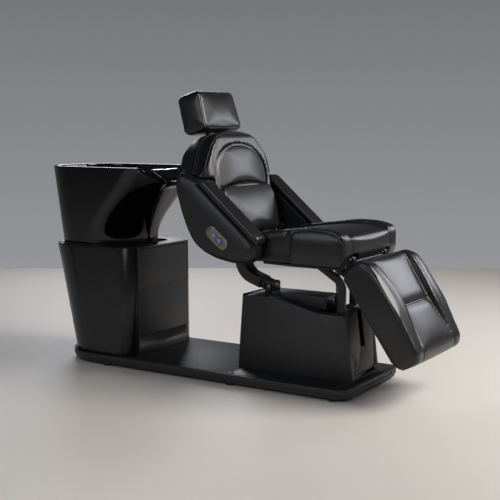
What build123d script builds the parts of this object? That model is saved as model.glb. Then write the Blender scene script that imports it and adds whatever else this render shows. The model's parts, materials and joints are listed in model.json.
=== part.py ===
from build123d import *

import os
from math import atan2, cos, degrees, hypot, pi, radians, sin, tan

# Hair washing bed: a basin cabinet and a swinging, reclining chair on one floor plate.
# X runs along the plate towards the foot end, Y across it, Z up. While the model is built, X is zero
# at the cabinet's front face and Z is zero on the floor. "Right" is the seated person's right, at -Y.
# At the end everything is moved so that the origin lies on the floor under the middle of the whole.

# Shared small values
overrun = 5.0
seat_gap = 0.3
pin_clearance = 0.08
open_pin_clearance = 0.6
slip_clearance = 0.5

# Floor plate
plate_rear_x = -455.0
plate_length = 1591.0
plate_half_width = 280.0
plate_top_z = 52.0
plate_skin = 8.0
plate_wall = 6.0
plate_skirt_depth = 25.0
plate_rear_radius = 215.0
plate_front_radius = 55.0
pan_inset = 6.0
pan_depth = 15.0
pan_sheet = 3.0
foot_radius = 20.0
foot_stem_radius = 6.0
foot_inset = 28.0
foot_rows_shares = (0.192, 0.634, 0.955)
foot_stem_gap = 2.0
cap_hole_radius = 14.0
cap_flange_radius = 16.0
cap_flange = 1.6
end_screw_radius = 6.0
end_screw_head = 2.5
end_screw_y = 188.0

# Cabinet under the basin
cabinet_height = 519.0
cabinet_bottom_rear_x = -446.0
cabinet_top_rear_x = -562.0
cabinet_bottom_half_width = 258.0
cabinet_top_half_width = 252.0
cabinet_bottom_rear_radius = 200.0
cabinet_top_rear_radius = 190.0
cabinet_corner_radius = 58.0
cabinet_wall = 5.0
front_panel_thickness = 4.0
front_panel_half_width = 200.0
front_panel_gap = 3.0
panel_flange = 24.0
panel_screw_radius = 4.5
panel_screw_head = 2.0
panel_screw_inset = 20.0
panel_screw_shares = (0.17, 0.63, 0.97)
cabinet_top_thickness = 6.0
cabinet_top_ledge = 12.0

# Basin
gasket_thickness = 4.0
gasket_width = 12.0
basin_height = 374.0
basin_foot_rear_x = -540.0
basin_rim_rear_x = -578.0
basin_foot_front_x = -52.0
basin_rim_front_x = 136.0
basin_foot_half_width = 222.0
basin_rim_half_width = 246.0
basin_rear_radius = 180.0
basin_foot_corner = 196.0
basin_rim_corner = 128.0
basin_nose_share = 0.42
basin_nose_radius = 120.0
basin_foot_nose_share = 0.16
basin_foot_nose_radius = 74.0
basin_cheek_radius = 110.0
basin_wall = 22.0
basin_skirt_wall = 16.0
basin_level_shares = (0.0, 0.19, 0.37, 0.62, 1.0)
basin_front_shares = (0.0, 0.03, 0.2, 0.545, 1.0)
bowl_depth = 212.0
bowl_level_shares = (0.0, 0.3, 0.72, 1.0)
bowl_reach_shares = (0.56, 0.86, 0.98, 1.0)
bowl_rear_shares = (0.6, 0.88, 0.98, 1.0)
bowl_front_shares = (0.42, 0.66, 0.88, 1.0)
bowl_corner_inset = 40.0
skirt_hollow_share = 0.36
skirt_top_inset = 30.0
notch_start_x = 8.0
notch_drop = 86.0
notch_radius = 70.0
notch_run = 92.0
drain_x = -300.0
drain_radius = 24.0
flange_radius = 36.0
flange_thickness = 3.0
flange_sleeve_wall = 2.5
flange_sleeve_length = 70.0
waste_radius = 20.0
waste_wall = 3.0
waste_bend_share = 3.0
waste_rear_reach = 50.0
waste_stub_length = 36.0
waste_collar = 4.0
waste_collar_width = 6.0
waste_z = 130.0
strainer_radius = 19.0
strainer_thickness = 2.5
strainer_hole_radius = 2.5
strainer_ring_radius = 11.0
strainer_hole_count = 8
strainer_knob_radius = 4.0
strainer_knob_height = 12.0

# Gel neck cushion on the notch
neck_half_width = 104.0
neck_thickness = 26.0
neck_clear_height = 130.0
neck_inner_flap = 62.0
neck_outer_flap = 8.0
neck_corner_radius = 20.0
neck_plan_radius = 48.0
neck_dip_radius = 170.0
neck_dip = 15.0
neck_length = 100.0
neck_front_inset = 36.0
neck_rise = 62.0

# Tap and spray on the basin's rear deck
deck_depth = 84.0
deck_half_width = 150.0
deck_drop = 92.0
tap_x = -512.0
tap_radius = 21.0
tap_height = 44.0
tap_lever_length = 64.0
tap_lever_width = 16.0
tap_lever_height = 9.0
tap_y = 62.0
spray_y = 0.0
spray_base_radius = 22.0
spray_base_height = 10.0
spray_socket_radius = 13.0
spray_handle_radius = 11.5
spray_handle_length = 96.0
spray_collar = 22.0
spray_head_radius = 24.0
spray_head_height = 26.0
supply_radius = 8.0
supply_thread_radius = 10.5
supply_thread_length = 30.0
supply_stub_gap = 6.0
supply_z = 210.0
supply_y = 60.0
supply_top_z = 520.0
supply_bend_share = 4.0
deck_thread = 40.0
tap_pin_radius = 4.0
spray_socket_depth = 60.0

# Pedestal
pedestal_half_width = 132.0
pedestal_bottom_rear_x = 518.0
pedestal_bottom_front_x = 1098.0
pedestal_top_rear_x = 543.0
pedestal_front_top_x = 1062.0
pedestal_top_z = 392.0
pedestal_low_z = 342.0
fender_start_x = 709.0
fender_end_x = 925.0
pedestal_wall = 4.0
pedestal_radius = 18.0
fender_radius = 130.0
well_half_width = 72.0
front_panel_sheet = 5.0
slot_half_width = 21.0
slot_bottom_z = 187.0
pedestal_bolt_y = 89.0
pedestal_bolt_z = 83.0
pedestal_bolt_radius = 7.0
pedestal_bolt_head = 3.0
spine_start_x = 700.0
spine_end_x = 936.0
spine_top_z = 400.0
spine_half_width = 66.0
spine_wall = 4.0
spine_skirt = 48.0
spine_nose = 22.0
spine_frame_z = 300.0
frame_plate = 8.0
frame_flange_half_width = 110.0
frame_flange_end_inset = 24.0
frame_web_y = 36.0
frame_bridge_length = 96.0
lug_radius = 24.0

# Front arms, rear link and their four pivots
arm_pivot_x = 1005.0
arm_pivot_z = 338.0
arm_rise = 217.0
arm_lean = 140.0
arm_y = 55.0
arm_thickness = 18.0
arm_width = 32.0
arm_boss_radius = 24.0
arm_bend_height = 128.0
arm_bend_radius = 60.0
arm_cross_share = 0.85
arm_cross_radius = 16.0
shaft_radius = 12.0
shaft_head_radius = 17.0
shaft_head = 4.0
link_pivot_x = 622.0
link_pivot_z = 417.0
link_half_width = 40.0
link_tongue_half_width = 27.0
link_thickness = 46.0
link_boss_radius = 22.0
link_bow_x = -167.0
link_bow_z = 57.0
link_bow_radius = 90.0
link_tongue_reach = 48.0
link_pin_radius = 10.0
bracket_half_width = 38.0
bracket_length = 38.0
bracket_top_z = 440.0
bracket_cheek = 10.0

# Actuator in the middle of the well
actuator_low_x = 975.0
actuator_low_z = 130.0
actuator_high_x = 950.0
actuator_high_z = 570.0
actuator_tube_radius = 18.0
actuator_tube_length = 270.0
actuator_rod_radius = 11.0
actuator_rod_hidden = 160.0
actuator_cap = 12.0
actuator_eye_half_width = 13.0
actuator_foot_half_width = 20.0
actuator_foot_length = 40.0
actuator_eye_radius = 15.0
actuator_window_half = 40.0
actuator_pin_radius = 8.0
actuator_slot_half = 9.0
actuator_pin_clearance = 0.5

# Seat
seat_half_width = 272.0
seat_rear_half_width = 235.0
seat_step_x = 856.0
seat_step_radius = 18.0
seat_front_x = 1121.0
seat_rear_x = 562.0
seat_low_z = 559.0
seat_hollow_z = 603.0
seat_top_z = 722.0
seat_side_shares = (
    (0.0, 0.0), (0.953, 0.0), (1.0, 0.33), (0.99, 0.87), (0.85, 0.99), (0.67, 1.0), (0.4, 0.88), (0.0, 0.66),
)
seat_side_radii = (0.0, 8.0, 40.0, 44.0, 160.0, 400.0, 400.0, 26.0)
seat_section_shares = ((0.955, 0.0), (1.0, 0.3), (1.0, 0.72), (0.93, 1.06))
seat_section_radii = (10.0, 60.0, 40.0, 30.0)
seat_bolster_y = 190.0
seat_bolster_rise = 15.0
seat_seam_depth = 7.0
seat_seam_width = 7.0
seat_corner_radius = 34.0
seat_skirt_wall = 12.0
seat_frame_sheet = 4.0
seat_frame_half_width = 168.0
seat_tray_rear_x = 572.0
seat_tray_front_x = 1040.0
seat_rail_thickness = 10.0
seat_rail_low_z = 565.0
seat_cross_rear_x = 520.0
seat_cross_front_x = 556.0
seat_cross_low_z = 580.0
seat_ear = 6.0
seat_ear_y = 236.8
seat_ear_width = 34.0
seat_boss_radius = 18.0
link_cheek_y = 41.0
link_cheek_thickness = 8.0
arm_lug_y = 66.0
actuator_lug_y = 16.0
pivot_shaft_radius = 10.0
pan_thickness = 8.0
pan_half_width = 246.0
pan_slot_half_width = 78.0
pan_slot_rear_x = 832.0
pan_slot_front_x = 992.0
pan_rear_x = 700.0
pan_front_x = 1086.0
pan_rear_half_width = 222.0

# Back and headrest, drawn upright with X to the front and then leaned back about the hinge
back_hinge_x = 520.0
back_hinge_z = 665.0
back_lean = 12.6
back_arm_gap = 0.5
back_arm_thickness = 6.0
back_arm_width = 34.0
back_arm_out = -58.0
back_arm_low = 56.0
back_arm_end = -84.0
back_arm_top = 232.0
back_arm_bend = 60.0
back_pin_radius = 9.0
back_low = -20.0
back_high = 474.0
back_half_width = 300.0
back_top_half_width = 156.0
back_low_half_width = 243.0
back_inner_half_width = 234.0
back_corner_radius = 225.0
back_low_radius = 26.0
back_rear = -166.0
back_rear_low = -124.0
back_rear_bend = 70.0
back_rear_high = 392.0
back_shell_front = -82.0
back_shell_wall = 6.0
back_shell_radius = 60.0
back_board_rear = -81.7
back_board_front = -66.0
bolster_front = 0.0
bolster_side_flat = 262.0
bolster_side_radius = 80.0
bolster_top_flat = 466.0
bolster_top_radius = 44.0
bolster_inset = 2.0
shoulder_front = -37.0
shoulder_front_s = 259.0
shoulder_rear = -143.0
shoulder_rear_s = 323.0
dome_corners = ((205.0, 209.0), (224.0, 318.0), (96.0, 412.0))
dome_radii = (22.0, 112.0, 240.0)
dome_arch_s = 244.0
dome_arch_radius = 600.0
dome_rear = -24.0
dome_front = 9.0
dome_crown = 20.0
dome_rise_crown = 10.0
pad_gap = 0.3
lumbar_corners = ((200.0, -14.0), (216.0, 90.0), (206.0, 204.0))
lumbar_radii = (34.0, 300.0, 22.0)
lumbar_arch_s = 239.0
lumbar_profile = (
    (-65.7, -14.0), (12.0, -14.0), (44.0, 30.0), (38.0, 112.0), (4.0, 240.0), (-65.7, 240.0),
)
lumbar_profile_radii = (0.0, 22.0, 36.0, 160.0, 10.0, 0.0)
lumbar_crown = 22.0
lumbar_front = 44.0
link_pocket_half_width = 56.0
link_pocket_top = 92.0
link_pocket_front = 20.0
headrest_low = 484.0
headrest_height = 192.0
headrest_low_half_width = 156.0
headrest_top_half_width = 144.0
headrest_front = -56.0
headrest_depth = 118.0
headrest_radius = 30.0
headrest_tilt = 4.0
headrest_crown = 12.0
post_radius = 6.0
post_y = 48.0
post_t = -118.0
post_hidden = 144.0
post_in_cushion = 60.0
post_sleeve_wall = 3.0
post_sleeve_length = 120.0
post_sleeve_collar = 4.0

# Wings and armrest pads
wing_inner_y = 250.0
wing_outer_y = 322.0
wing_edge_radius = 24.0
wing_rear_x = 296.0
wing_length = 434.0
wing_low_z = 553.0
wing_height = 394.0
wing_outline_shares = (
    (0.035, 1.0), (0.0, 0.86), (0.03, 0.7), (0.075, 0.54), (0.14, 0.36), (0.225, 0.2),
    (0.35, 0.105), (0.5, 0.04), (0.7, 0.0), (0.905, 0.01), (0.985, 0.1), (0.975, 0.225),
    (0.31, 0.85), (0.305, 0.9),
)
wing_radius_shares = (0.065, 0.1, 0.4, 0.5, 0.4, 0.3, 0.3, 0.5, 0.5, 0.12, 0.1, 0.0, 0.0, 0.0)
armrest_outer_y = 327.0
armrest_inner_y = 244.0
armrest_outline_shares = (
    (0.305, 0.905), (0.37, 0.915), (0.7, 0.6), (1.03, 0.29), (1.0, 0.2), (0.977, 0.228), (0.312, 0.852),
)
armrest_radius_shares = (0.02, 0.08, 0.9, 0.05, 0.015, 0.0, 0.0)

# Control plate and buttons on the right wing
control_x = 530.0
control_z = 661.0
control_tilt = 39.0
control_length = 128.0
control_width = 54.0
control_proud = 2.0
control_thickness = 4.0
button_radius = 8.7
button_spacing = 34.0
button_proud = 1.4
button_length = 9.5
button_well_depth = 8.0
button_rim_gap = 0.3

# Legrest, drawn flat with X towards its foot end and then hung from the seat's front edge
leg_origin_x = 1150.0
leg_origin_z = 560.0
leg_angle = 55.6
leg_side_corners = (
    (-29.0, -24.0), (-19.0, 40.0), (22.0, 72.0), (150.0, 92.0), (430.0, 54.0), (463.0, 30.0),
    (452.0, -56.0), (2.0, -56.0),
)
leg_side_radii = (12.0, 26.0, 60.0, 700.0, 40.0, 22.0, 20.0, 16.0)
leg_top = -29.0
leg_foot = 463.0
leg_front = 62.0
leg_roll_front = 92.0
leg_plan_corners = ((-34.0, 246.0), (176.0, 262.0), (468.0, 241.0))
leg_plan_radii = (44.0, 900.0, 48.0)
leg_crown = 16.0
leg_board_front = -56.0
leg_board_rear = -68.0
leg_board_top = 6.0
leg_board_inset = 12.0
leg_seam_corners = ((-40.0, 178.0), (221.0, 138.0), (474.0, 180.0))
leg_seam_depth = 7.0
leg_seam_width = 7.0
leg_hinge_x = 1098.0
leg_hinge_z = 588.0
leg_arm_y = 150.0
leg_arm_thickness = 8.0
leg_arm_width = 30.0
leg_arm_rear = -83.3
leg_arm_start = -8.0
leg_arm_end = 260.0
leg_arm_bend = 30.0
leg_boss_radius = 16.0
leg_pin_radius = 7.0
leg_pin_reach = 8.0
leg_notch_low_y = 128.0
leg_notch_high_y = 184.0
leg_notch_rear_x = 1050.0
leg_notch_top_z = 612.0

# Sizes worked out from the above
plate_front_x = plate_rear_x + plate_length
pan_top_z = plate_top_z - plate_skirt_depth
pan_low_z = pan_top_z - pan_depth
cabinet_top_z = plate_top_z + cabinet_height
basin_foot_z = cabinet_top_z + gasket_thickness
rim_z = basin_foot_z + basin_height
arm_top_x = arm_pivot_x - arm_lean
arm_top_z = arm_pivot_z + arm_rise
link_top_x = link_pivot_x - arm_lean
link_top_z = link_pivot_z + arm_rise
flap_bottom_z = rim_z - notch_drop


def loop_wire(corners, radii):
    """Closed wire through a flat polygon's corners, each rounded by its own radius."""
    count = len(corners)
    joints = []
    for i, corner in enumerate(corners):
        before = (corners[i - 1] - corner).normalized()
        after = (corners[(i + 1) % count] - corner).normalized()
        half = radians(before.get_angle(after)) / 2
        reach = radii[i] / tan(half) if radii[i] > 0 else 0
        bisector = (before + after).normalized() if radii[i] > 0 else before
        middle = corner + bisector * (radii[i] / sin(half) - radii[i])
        joints.append((corner + before * reach, middle, corner + after * reach))
    edges = []
    for i, (start, middle, end) in enumerate(joints):
        if radii[i] > 0:
            edges.append(ThreePointArc(start, middle, end))
        following = joints[(i + 1) % count][0]
        if (following - end).length > seat_gap * seat_gap:
            edges.append(Line(end, following))
    return Wire(edges)


def push(corners, radii, travel):
    """Solid swept by the rounded polygon along a straight travel."""
    return Solid.extrude(Face(loop_wire(corners, radii)), travel)


def side_slab(points, radii, y_low, y_high):
    """Solid with a side-view outline of (x, z) points between two Y planes."""
    corners = [Vector(x, y_low, z) for x, z in points]
    return push(corners, radii, Vector(0, y_high - y_low, 0))


def plan_slab(points, radii, z_low, z_high):
    """Solid with a plan outline of (x, y) points between two heights."""
    corners = [Vector(x, y, z_low) for x, y in points]
    return push(corners, radii, Vector(0, 0, z_high - z_low))


def front_slab(points, radii, x_low, x_high):
    """Solid with a front-view outline of (y, z) points between two X planes."""
    corners = [Vector(x_low, y, z) for y, z in points]
    return push(corners, radii, Vector(x_high - x_low, 0, 0))


def block(x_low, x_high, y_low, y_high, z_low, z_high):
    """Box between two corners."""
    size = (x_high - x_low, y_high - y_low, z_high - z_low)
    return Pos(x_low, y_low, z_low) * Box(*size, align=(Align.MIN, Align.MIN, Align.MIN))


def rod_y(x, z, radius, y_low, y_high):
    """Round bar along Y."""
    bar = Cylinder(radius, y_high - y_low, align=(Align.CENTER, Align.CENTER, Align.MIN))
    return Pos(x, y_low, z) * Rot(-90, 0, 0) * bar


def rod_x(y, z, radius, x_low, x_high):
    """Round bar along X."""
    bar = Cylinder(radius, x_high - x_low, align=(Align.CENTER, Align.CENTER, Align.MIN))
    return Pos(x_low, y, z) * Rot(0, 90, 0) * bar


def rod_z(x, y, radius, z_low, z_high):
    """Round bar along Z."""
    bar = Cylinder(radius, z_high - z_low, align=(Align.CENTER, Align.CENTER, Align.MIN))
    return Pos(x, y, z_low) * bar


def plan_corners(x_rear, x_front, half_width):
    """Corners of a plan rectangle about the middle plane, front right corner first."""
    return [(x_front, -half_width), (x_front, half_width), (x_rear, half_width), (x_rear, -half_width)]


def plan_section(z, x_rear, x_front, half_width, rear_radius, front_radius):
    """Face of a rounded plan rectangle at one height, for a loft."""
    corners = [Vector(x, y, z) for x, y in plan_corners(x_rear, x_front, half_width)]
    return Face(loop_wire(corners, (front_radius, front_radius, rear_radius, rear_radius)))


def mix(low, high, share):
    """Value at a share of the way from low to high."""
    return low + (high - low) * share


def floor_parts():
    """Floor plate, base pan, levelling feet, caps and end screws."""
    outline = plan_corners(plate_rear_x, plate_front_x, plate_half_width)
    radii = (plate_front_radius, plate_front_radius, plate_rear_radius, plate_rear_radius)
    plate = plan_slab(outline, radii, pan_top_z, plate_top_z)
    inner = plan_corners(plate_rear_x + plate_wall, plate_front_x - plate_wall,
                         plate_half_width - plate_wall)
    inner_radii = [radius - plate_wall for radius in radii]
    plate -= plan_slab(inner, inner_radii, pan_top_z - overrun, plate_top_z - plate_skin)

    pan_outline = plan_corners(plate_rear_x + pan_inset, plate_front_x - pan_inset,
                               plate_half_width - pan_inset)
    pan_radii = [radius - pan_inset for radius in radii]
    pan = plan_slab(pan_outline, pan_radii, pan_low_z, pan_top_z)
    pan_wall = pan_inset + plate_wall
    pan_inner = plan_corners(plate_rear_x + pan_wall, plate_front_x - pan_wall,
                             plate_half_width - pan_wall)
    pan -= plan_slab(pan_inner, [radius - pan_wall for radius in radii],
                     pan_low_z + pan_sheet, pan_top_z + overrun)

    feet = []
    caps = []
    foot_y = plate_half_width - foot_inset
    for share in foot_rows_shares:
        x = plate_rear_x + plate_length * share
        for y in (-foot_y, foot_y):
            stem_top = plate_top_z - plate_skin - foot_stem_gap
            feet.append(rod_z(x, y, foot_radius, 0, pan_low_z)
                        + rod_z(x, y, foot_stem_radius, pan_low_z, stem_top))
            pan -= rod_z(x, y, foot_stem_radius + slip_clearance, pan_low_z - overrun,
                         pan_low_z + pan_sheet + overrun)
            if x - cap_flange_radius < 0:
                continue
            plate -= rod_z(x, y, cap_hole_radius, plate_top_z - plate_skin - overrun,
                           plate_top_z + overrun)
            caps.append(rod_z(x, y, cap_flange_radius, plate_top_z, plate_top_z + cap_flange)
                        + rod_z(x, y, cap_hole_radius - seat_gap, plate_top_z - plate_skin, plate_top_z))

    screws = []
    screw_z = pan_top_z + plate_skirt_depth / 2
    for y in (-end_screw_y, end_screw_y):
        hole = rod_x(y, screw_z, end_screw_radius / 2, plate_front_x - plate_wall - overrun,
                     plate_front_x + overrun)
        plate -= hole
        screws.append(rod_x(y, screw_z, end_screw_radius, plate_front_x, plate_front_x + end_screw_head)
                      + rod_x(y, screw_z, end_screw_radius / 2, plate_front_x - plate_wall, plate_front_x))
    return {
        "floor_plate": [plate],
        "base_pan": [pan],
        "levelling_feet": feet,
        "foot_caps": caps,
        "plate_end_screws": screws,
    }


def cabinet_section(z, inset):
    """Plan face of the cabinet shell at one height."""
    share = (z - plate_top_z) / cabinet_height
    rear = mix(cabinet_bottom_rear_x, cabinet_top_rear_x, share) + inset
    half = mix(cabinet_bottom_half_width, cabinet_top_half_width, share) - inset
    rear_radius = mix(cabinet_bottom_rear_radius, cabinet_top_rear_radius, share) - inset
    return plan_section(z, rear, -front_panel_thickness - inset, half, rear_radius,
                        cabinet_corner_radius - inset)


def cabinet_parts():
    """Cabinet shell, front panel with screws, and the top under the basin."""
    shell = loft([cabinet_section(plate_top_z, 0), cabinet_section(cabinet_top_z, 0)], ruled=True)
    core = loft([cabinet_section(plate_top_z, cabinet_wall), cabinet_section(cabinet_top_z, cabinet_wall)],
                ruled=True)
    shell -= core
    opening = front_panel_half_width - panel_flange
    shell -= block(-front_panel_thickness - cabinet_wall - overrun, overrun, -opening, opening,
                   plate_top_z + panel_flange, cabinet_top_z - panel_flange)
    panel_low = plate_top_z + front_panel_gap
    panel = block(-front_panel_thickness, 0, -front_panel_half_width, front_panel_half_width,
                  panel_low, cabinet_top_z)
    screws = []
    screw_y = front_panel_half_width - panel_screw_inset / 2
    for share in panel_screw_shares:
        z = plate_top_z + cabinet_height * share
        for y in (-screw_y, screw_y):
            shank = rod_x(y, z, panel_screw_radius / 2, -front_panel_thickness - cabinet_wall, 0)
            hole = rod_x(y, z, panel_screw_radius / 2, -front_panel_thickness - cabinet_wall - overrun,
                         overrun)
            panel -= hole
            shell -= hole
            screws.append(shank + rod_x(y, z, panel_screw_radius, 0, panel_screw_head))
    waste = rod_x(0, waste_z, waste_radius + slip_clearance, cabinet_top_rear_x - overrun,
                  mix(cabinet_top_rear_x, 0, 0.5))
    shell -= waste
    for y in (-supply_y, supply_y):
        shell -= rod_x(y, supply_z, supply_radius + slip_clearance,
                       cabinet_top_rear_x - overrun, mix(cabinet_top_rear_x, 0, 0.5))

    top_low = cabinet_top_z - cabinet_top_thickness
    top = loft([cabinet_section(top_low, cabinet_wall), cabinet_section(cabinet_top_z, cabinet_wall)],
               ruled=True)
    hole_reach = (basin_foot_front_x - basin_foot_rear_x) / 2 - basin_skirt_wall - cabinet_top_ledge
    hole_middle = (basin_foot_front_x + basin_foot_rear_x) / 2
    hole_half = basin_foot_half_width - basin_skirt_wall - cabinet_top_ledge
    hole_radius = basin_cheek_radius - basin_skirt_wall - cabinet_top_ledge
    top -= plan_slab(plan_corners(hole_middle - hole_reach, hole_middle + hole_reach, hole_half),
                     (hole_radius,) * 4, top_low - overrun, cabinet_top_z + overrun)
    return {
        "cabinet_shell": [shell],
        "cabinet_front_panel": [panel],
        "cabinet_panel_screws": screws,
        "cabinet_top": [top],
    }


def basin_plan(z, rear, front, half, corner, rear_radius, inset, reach):
    """Plan face of the basin at one height: straight sides, round rear and a blunt, rounded front."""
    nose = half * mix(basin_foot_nose_share, basin_nose_share, reach)
    nose_radius = mix(basin_foot_nose_radius, basin_nose_radius, reach) - inset
    points = [(front, -nose), (front, nose), (front - corner, half), (rear, half), (rear, -half),
              (front - corner, -half)]
    radii = (nose_radius, nose_radius, basin_cheek_radius - inset, rear_radius, rear_radius,
             basin_cheek_radius - inset)
    return Face(loop_wire([Vector(x, y, z) for x, y in points], radii))


def basin_face(share, inset):
    """Plan face of the basin's outside at a share of its height."""
    z = basin_foot_z + basin_height * share
    reach = basin_front_share(share)
    front = mix(basin_foot_front_x, basin_rim_front_x, reach) - inset
    rear = mix(basin_foot_rear_x, basin_rim_rear_x, share) + inset
    half = mix(basin_foot_half_width, basin_rim_half_width, share) - inset
    corner = mix(basin_foot_corner, basin_rim_corner, reach)
    return basin_plan(z, rear, front, half, corner, basin_rear_radius - inset, inset, reach)


def basin_front_share(share):
    """How far the front has come forward at a share of the basin's height."""
    levels = basin_level_shares
    for i in range(len(levels) - 1):
        if share <= levels[i + 1]:
            part = (share - levels[i]) / (levels[i + 1] - levels[i])
            return mix(basin_front_shares[i], basin_front_shares[i + 1], part)
    return basin_front_shares[-1]


def bowl_face(index):
    """Plan face of the bowl's inside at one of its levels, from the floor up."""
    level = bowl_level_shares[index]
    z = rim_z - bowl_depth * (1 - level)
    middle = drain_x
    rear = mix(middle, basin_rim_rear_x + basin_wall, bowl_rear_shares[index])
    front = mix(middle, basin_rim_front_x - basin_wall, bowl_front_shares[index])
    half = (basin_rim_half_width - basin_wall) * bowl_reach_shares[index]
    rear_corner = (basin_rear_radius - basin_wall) * bowl_reach_shares[index]
    return basin_plan(z, rear, front, half, basin_rim_corner, rear_corner, bowl_corner_inset, 1)


def notch_cutter():
    """Everything above the neck notch at the basin's front."""
    far = basin_rim_front_x + neck_thickness + overrun
    points = [
        (notch_start_x, rim_z + neck_clear_height),
        (notch_start_x, rim_z),
        (notch_start_x + notch_run, flap_bottom_z),
        (far + overrun, flap_bottom_z),
        (far + overrun, rim_z + neck_clear_height),
    ]
    radii = (0, notch_radius / 2, notch_radius, 0, 0)
    reach = basin_rim_half_width + overrun
    return side_slab(points, radii, -reach, reach)


def basin_parts():
    """Ceramic basin, gasket, neck cushion, waste, strainer, pipes, tap and spray."""
    outside = loft([basin_face(share, 0) for share in basin_level_shares])
    bowl = loft([bowl_face(i) for i in range(len(bowl_level_shares))])
    basin = outside - bowl
    hollow_top = basin_foot_z + basin_height * skirt_hollow_share
    hollow_low = basin_face(0, basin_skirt_wall)
    hollow_high = basin_face(skirt_hollow_share, skirt_top_inset)
    basin -= loft([hollow_low, hollow_high], ruled=True)
    basin -= notch_cutter()

    deck_low = rim_z - deck_drop
    bowl_floor = rim_z - bowl_depth
    deck_front_x = basin_rim_rear_x + basin_wall + deck_depth
    deck = block(basin_rim_rear_x + basin_wall / 2, deck_front_x, -deck_half_width, deck_half_width,
                 bowl_floor - basin_wall, deck_low)
    basin += deck & outside
    cavity_half = deck_half_width - basin_wall
    basin -= block(basin_foot_rear_x + basin_wall / 2, deck_front_x - basin_wall, -cavity_half,
                   cavity_half, hollow_top - overrun, deck_low - basin_wall)
    basin -= rod_z(drain_x, 0, drain_radius, hollow_top - overrun, bowl_floor + overrun)
    tap_hole_low = deck_low - basin_wall - overrun
    fittings = [(tap_y, supply_radius, tap_radius), (spray_y, spray_socket_radius, spray_head_radius)]
    for y, radius, body in fittings:
        basin -= rod_z(tap_x, y, radius + slip_clearance, tap_hole_low, deck_low + overrun)
        basin -= rod_z(tap_x, y, body + slip_clearance, deck_low, rim_z + overrun)

    down = Location((0, 0, -gasket_thickness))
    outer = basin_face(0, 0)
    inner = basin_face(0, gasket_width)
    gasket = loft([outer, outer.moved(down)], ruled=True)
    gasket -= loft([inner, inner.moved(down)], ruled=True)

    sleeve_inner = drain_radius - flange_sleeve_wall
    flange = rod_z(drain_x, 0, flange_radius, bowl_floor, bowl_floor + flange_thickness)
    flange += rod_z(drain_x, 0, drain_radius, bowl_floor - flange_sleeve_length, bowl_floor)
    flange -= rod_z(drain_x, 0, sleeve_inner, bowl_floor - flange_sleeve_length - overrun,
                    bowl_floor + flange_thickness + overrun)
    ledge_z = bowl_floor - strainer_thickness
    ledge = rod_z(drain_x, 0, sleeve_inner, ledge_z - flange_thickness, ledge_z)
    ledge -= rod_z(drain_x, 0, strainer_radius - flange_sleeve_wall, ledge_z - flange_thickness, ledge_z)
    flange += ledge

    strainer_low = ledge_z + seat_gap
    strainer_high = strainer_low + strainer_thickness
    strainer = rod_z(drain_x, 0, strainer_radius, strainer_low, strainer_high)
    for i in range(strainer_hole_count):
        turn = 2 * pi * i / strainer_hole_count
        x = drain_x + strainer_ring_radius * cos(turn)
        y = strainer_ring_radius * sin(turn)
        strainer -= rod_z(x, y, strainer_hole_radius, ledge_z - overrun, strainer_high + overrun)
    strainer += rod_z(drain_x, 0, strainer_knob_radius, strainer_low, ledge_z + strainer_knob_height)

    pipe_top = bowl_floor - flange_sleeve_length
    bend = waste_radius * waste_bend_share
    waste_end = cabinet_rear_at(waste_z) - waste_rear_reach
    route = [(drain_x, 0, pipe_top), (drain_x, 0, waste_z), (waste_end, 0, waste_z)]
    start = Plane(origin=(drain_x, 0, pipe_top), z_dir=(0, 0, -1))
    waste = sweep(Face(Wire.make_circle(waste_radius, start)), path=FilletPolyline(*route, radius=bend))
    collar_x = waste_end + waste_stub_length
    waste += rod_x(0, waste_z, waste_radius + waste_collar, collar_x, collar_x + waste_collar_width)
    waste -= sweep(Face(Wire.make_circle(waste_radius - waste_wall, start)),
                   path=FilletPolyline(*route, radius=bend))

    supplies = []
    for y in (-supply_y, supply_y):
        thread_end = cabinet_rear_at(supply_z) - supply_stub_gap
        rise_x = mix(thread_end, drain_x, 0.5)
        riser_path = FilletPolyline((thread_end, y, supply_z), (rise_x, y, supply_z),
                                    (rise_x, y, supply_top_z), radius=supply_radius * supply_bend_share)
        end_plane = Plane(origin=(thread_end, y, supply_z), z_dir=(1, 0, 0))
        pipe = sweep(Face(Wire.make_circle(supply_radius, end_plane)), path=riser_path)
        supplies.append(pipe + rod_x(y, supply_z, supply_thread_radius, thread_end - supply_thread_length,
                                     thread_end))

    tap = rod_z(tap_x, tap_y, tap_radius, deck_low, deck_low + tap_height)
    tap += rod_z(tap_x, tap_y, supply_radius, deck_low - deck_thread, deck_low)
    lever_low = deck_low + tap_height + seat_gap
    lever = rod_z(tap_x, tap_y, tap_radius - slip_clearance, lever_low, lever_low + tap_lever_height)
    lever += block(tap_x, tap_x + tap_lever_length, tap_y - tap_lever_width / 2, tap_y + tap_lever_width / 2,
                   lever_low, lever_low + tap_lever_height)
    tap_pin = rod_z(tap_x, tap_y, tap_pin_radius, deck_low + tap_height, lever_low + tap_lever_height / 2)
    lever -= rod_z(tap_x, tap_y, tap_pin_radius + pin_clearance, lever_low - overrun,
                   lever_low + tap_lever_height / 2 + seat_gap)
    tap += tap_pin

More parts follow.
